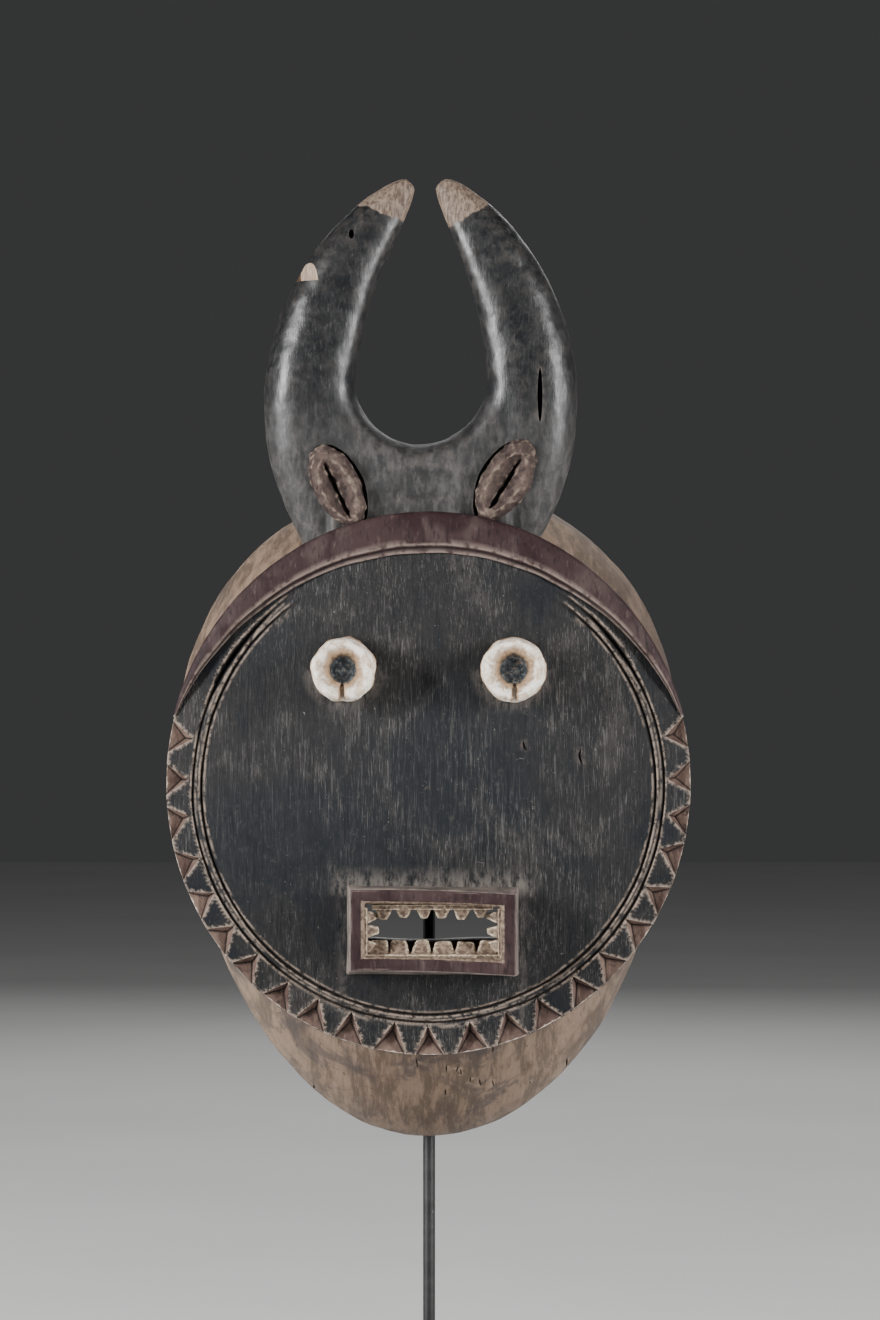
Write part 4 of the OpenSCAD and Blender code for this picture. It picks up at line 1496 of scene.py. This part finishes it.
def make_collar():
    """The hollow shell behind the face board, with a rounded back edge"""
    wall = 11 * MM
    lip = ((0.985, 0.2), (0.997, 1.2), (1.0, 2.6), (1.0, 5.5), (1.0, 8.4), (0.997, 9.8),
           (0.985, 10.8))
    rows = [(t / 34, 0.0) for t in range(34)] + [(t, inset * MM) for t, inset in lip]
    rows += [(t / 26, wall) for t in range(25, -1, -1)]
    rings = []
    for t, inset in rows:
        ring = []
        for turn in turns(260):
            rough = 0.8 * MM * wander((math.cos(turn) * 2, math.sin(turn) * 2, t), 0.42, 1)
            if inset > 9 * MM:
                rough += 1.3 * MM * wander((math.cos(turn) * 4, math.sin(turn) * 4, t * 3), 0.5, 6)
            ring.append(collar_place(t, turn, inset + 0.6 * MM + rough * min(1, t * 4 + 0.1)))
        rings.append(ring)
    collar = lofted("collar", rings, "ring")
    collar.data.materials.append(collar_wood())
    collar.data.materials.append(hollow_wood())
    for face in collar.data.polygons:
        out = Vector((face.center.x, 0, face.center.z - FACE_Z - 10 * MM))
        if face.normal.dot(out) < 0:
            face.material_index = 1
    uneven(collar, 22 * MM, 1.3 * MM)
    uneven(collar, 7 * MM, 0.35 * MM)
    for cutter in collar_cutters():
        cutter.data.materials.append(bpy.data.materials["hollow_wood"])
        cut(collar, cutter)
    mark_wear(collar, 26, 2, 2.4 * MM)
    return finished(collar, "collar_carved", "mask", ["back_collar"])


# Cracks and worm holes: turn round the collar, share of its depth, half sizes in millimetres
COLLAR_MARKS = ((-0.985, 0.72, (0.5, 7, 4.5)), (-2.05, 0.8, (0.4, 5, 6)),
                (-1.78, 0.93, (0.5, 6, 3.0)), (0.9, 0.82, (0.9, 2, 0.9)),
                (0.62, 0.86, (0.9, 2, 0.9)), (0.75, 0.6, (0.7, 2, 0.7)),
                (-1.15, 0.55, (0.7, 2, 0.8)), (2.3, 0.8, (0.8, 2, 0.8)))


def collar_cutters():
    """Drying cracks, worm holes and the short blade marks under the chin"""
    rng = random.Random(carving().seed + 3)
    cuts = []
    for turn, t, size in COLLAR_MARKS:
        cuts.append(lens(collar_place(t, turn, 0), tuple(s * MM for s in size)))
    for _ in range(9):
        turn = rng.uniform(-1.62, -1.30)
        t = rng.uniform(0.16, 0.40)
        cuts.append(lens(collar_place(t, turn, 0), (0.35 * MM, 3 * MM, rng.uniform(1.4, 3.0) * MM),
                         (0, rng.uniform(-0.3, 0.3), 0)))
    return cuts


def make_bite_bar():
    """A bar worn thin where it was bitten"""
    low, high = (Vector(c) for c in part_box("bite_bar"))
    middle = (low + high) / 2
    radius = (high.z - low.z) / 2
    rings = []
    rows = 64
    for row in range(rows):
        x = low.x + (high.x - low.x) * row / (rows - 1)
        bitten = 0.9 * MM * math.exp(-((x - middle.x) / (16 * MM)) ** 2)
        ring = []
        for turn in turns(28):
            rough = 0.45 * MM * wander((x * 60, math.cos(turn), math.sin(turn)), 0.8, 2)
            r = radius - 0.5 * MM - bitten + rough
            ring.append((x, middle.y + r * math.cos(turn), middle.z + r * math.sin(turn)))
        rings.append(ring)
    bar = lofted("bar", rings)
    return finished(bar, "bite_bar_carved", "mask", ["bite_bar"], [bar_wood()], 60)


# ------------------------------------------------------------- operators

class MaskOperator:
    bl_options = {"REGISTER", "UNDO"}


class MASK_OT_face(MaskOperator, bpy.types.Operator):
    """Carve the face board, with its grooves and notches"""
    bl_idname = "mask.face"
    bl_label = "Face board"

    def execute(self, context):
        make_face()
        return {"FINISHED"}


class MASK_OT_brow(MaskOperator, bpy.types.Operator):
    """Carve the raised band over the top of the face"""
    bl_idname = "mask.brow"
    bl_label = "Brow band"

    def execute(self, context):
        make_brow()
        return {"FINISHED"}


class MASK_OT_eyes(MaskOperator, bpy.types.Operator):
    """Carve the two tube eyes and coat them with white clay"""
    bl_idname = "mask.eyes"
    bl_label = "Eyes"

    def execute(self, context):
        white_clay()
        for side in (-1, 1):
            make_eye(side)
        return {"FINISHED"}


class MASK_OT_mouth(MaskOperator, bpy.types.Operator):
    """Carve the mouth frame and its four rows of teeth"""
    bl_idname = "mask.mouth"
    bl_label = "Mouth and teeth"

    def execute(self, context):
        make_mouth()
        make_teeth()
        return {"FINISHED"}


class MASK_OT_horns(MaskOperator, bpy.types.Operator):
    """Carve the two horns and the crest between them"""
    bl_idname = "mask.horns"
    bl_label = "Horns and crest"

    def execute(self, context):
        make_horns()
        return {"FINISHED"}


class MASK_OT_ears(MaskOperator, bpy.types.Operator):
    """Carve the two leaf-shaped ears"""
    bl_idname = "mask.ears"
    bl_label = "Ears"

    def execute(self, context):
        make_ears()
        return {"FINISHED"}


class MASK_OT_collar(MaskOperator, bpy.types.Operator):
    """Carve the hollow collar and the bite bar across it"""
    bl_idname = "mask.collar"
    bl_label = "Collar and bite bar"

    def execute(self, context):
        make_collar()
        make_bite_bar()
        return {"FINISHED"}


class MASK_OT_stand(MaskOperator, bpy.types.Operator):
    """Lacquer the steel stand and finish its rubber and screws"""
    bl_idname = "mask.stand"
    bl_label = "Display stand"

    def execute(self, context):
        finishes = {
            black_steel(): ("post", "hanger_fork", "stand_base", "post_socket", "thumb_screw"),
            soft_rubber(): ("tip_sleeves", "stop_sleeve", "base_feet"),
            plain_steel(): ("socket_screw",),
        }
        for material, nodes in finishes.items():
            for node in nodes:
                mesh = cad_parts[node].data
                mesh.materials.clear()
                mesh.materials.append(material)
        return {"FINISHED"}


class MASK_OT_stage(MaskOperator, bpy.types.Operator):
    """Set the floor, the lights and the camera"""
    bl_idname = "mask.stage"
    bl_label = "Stage"

    def execute(self, context):
        make_stage(context.scene)
        return {"FINISHED"}


# Name, place, size and watts of each soft light
LIGHTS = (("left_light", (-1.72, -0.98, FACE_Z + 0.46), (0.26, 0.8), 84),
          ("right_light", (1.72, -0.98, FACE_Z + 0.42), (0.26, 0.8), 60),
          ("front_light", (0.1, -2.4, 2.2), (1.6, 1.0), 3.5),
          ("back_light", (0.2, 2.2, 1.5), (1.4, 1.0), 13))
# A level view, square to the face, through a long lens
CAMERA_PLACE = (5.4 * MM, -2.0, FACE_Z + 58.1 * MM)
FILM_HEIGHT, LENS = 24, 75.76


def make_stage(scene):
    """A pale floor, four soft lights and a level view of the face"""
    deselect()
    bpy.ops.mesh.primitive_plane_add(size=12, location=(0, 0, 0))
    floor = bpy.context.object
    floor.name = "floor"
    floor.data.materials.append(floor_paper())

    world = bpy.data.worlds.new("studio")
    scene.world = world
    world.use_nodes = True
    sky = world.node_tree.nodes["Background"]
    sky.inputs[0].default_value = (0.83, 0.84, 0.86, 1)
    sky.inputs[1].default_value = 0.05

    target = Vector((0, -0.03, FACE_Z + 0.03))
    for name, place, size, power in LIGHTS:
        deselect()
        bpy.ops.object.light_add(type="AREA", location=place)
        light = bpy.context.object
        light.name = name
        light.data.shape = "RECTANGLE"
        light.data.size, light.data.size_y = size
        light.data.energy = power
        light.rotation_euler = (target - Vector(place)).to_track_quat("-Z", "Y").to_euler()

    deselect()
    bpy.ops.object.camera_add(location=CAMERA_PLACE, rotation=(math.pi / 2, 0, 0))
    camera = bpy.context.object
    camera.data.sensor_fit = "VERTICAL"
    camera.data.sensor_height = FILM_HEIGHT
    camera.data.lens = LENS
    scene.camera = camera


class MASK_PT_panel(bpy.types.Panel):
    """Lists the sizes, the colours and the pieces"""
    bl_idname = "MASK_PT_panel"
    bl_label = "Carved mask"
    bl_space_type = "VIEW_3D"
    bl_region_type = "UI"
    bl_category = "Mask"

    def draw(self, context):
        layout = self.layout
        for group in (context.scene.mask_carving, context.scene.mask_paint):
            box = layout.box()
            for name in group.__annotations__:
                box.prop(group, name)
        for operator in OPERATORS:
            layout.operator(operator.bl_idname)


GROUPS = (MaskCarving, MaskPaint)
OPERATORS = (MASK_OT_face, MASK_OT_brow, MASK_OT_eyes, MASK_OT_mouth, MASK_OT_horns, MASK_OT_ears,
             MASK_OT_collar, MASK_OT_stand, MASK_OT_stage)


def register():
    for item in GROUPS + OPERATORS + (MASK_PT_panel,):
        bpy.utils.register_class(item)
    bpy.types.Scene.mask_carving = bpy.props.PointerProperty(type=MaskCarving)
    bpy.types.Scene.mask_paint = bpy.props.PointerProperty(type=MaskPaint)


def unregister():
    del bpy.types.Scene.mask_paint
    del bpy.types.Scene.mask_carving
    for item in reversed(GROUPS + OPERATORS + (MASK_PT_panel,)):
        bpy.utils.unregister_class(item)


def main():
    register()
    for piece in ("face", "brow", "eyes", "mouth", "horns", "ears", "collar", "stand", "stage"):
        getattr(bpy.ops.mask, piece)()


if __name__ == "__main__":
    main()
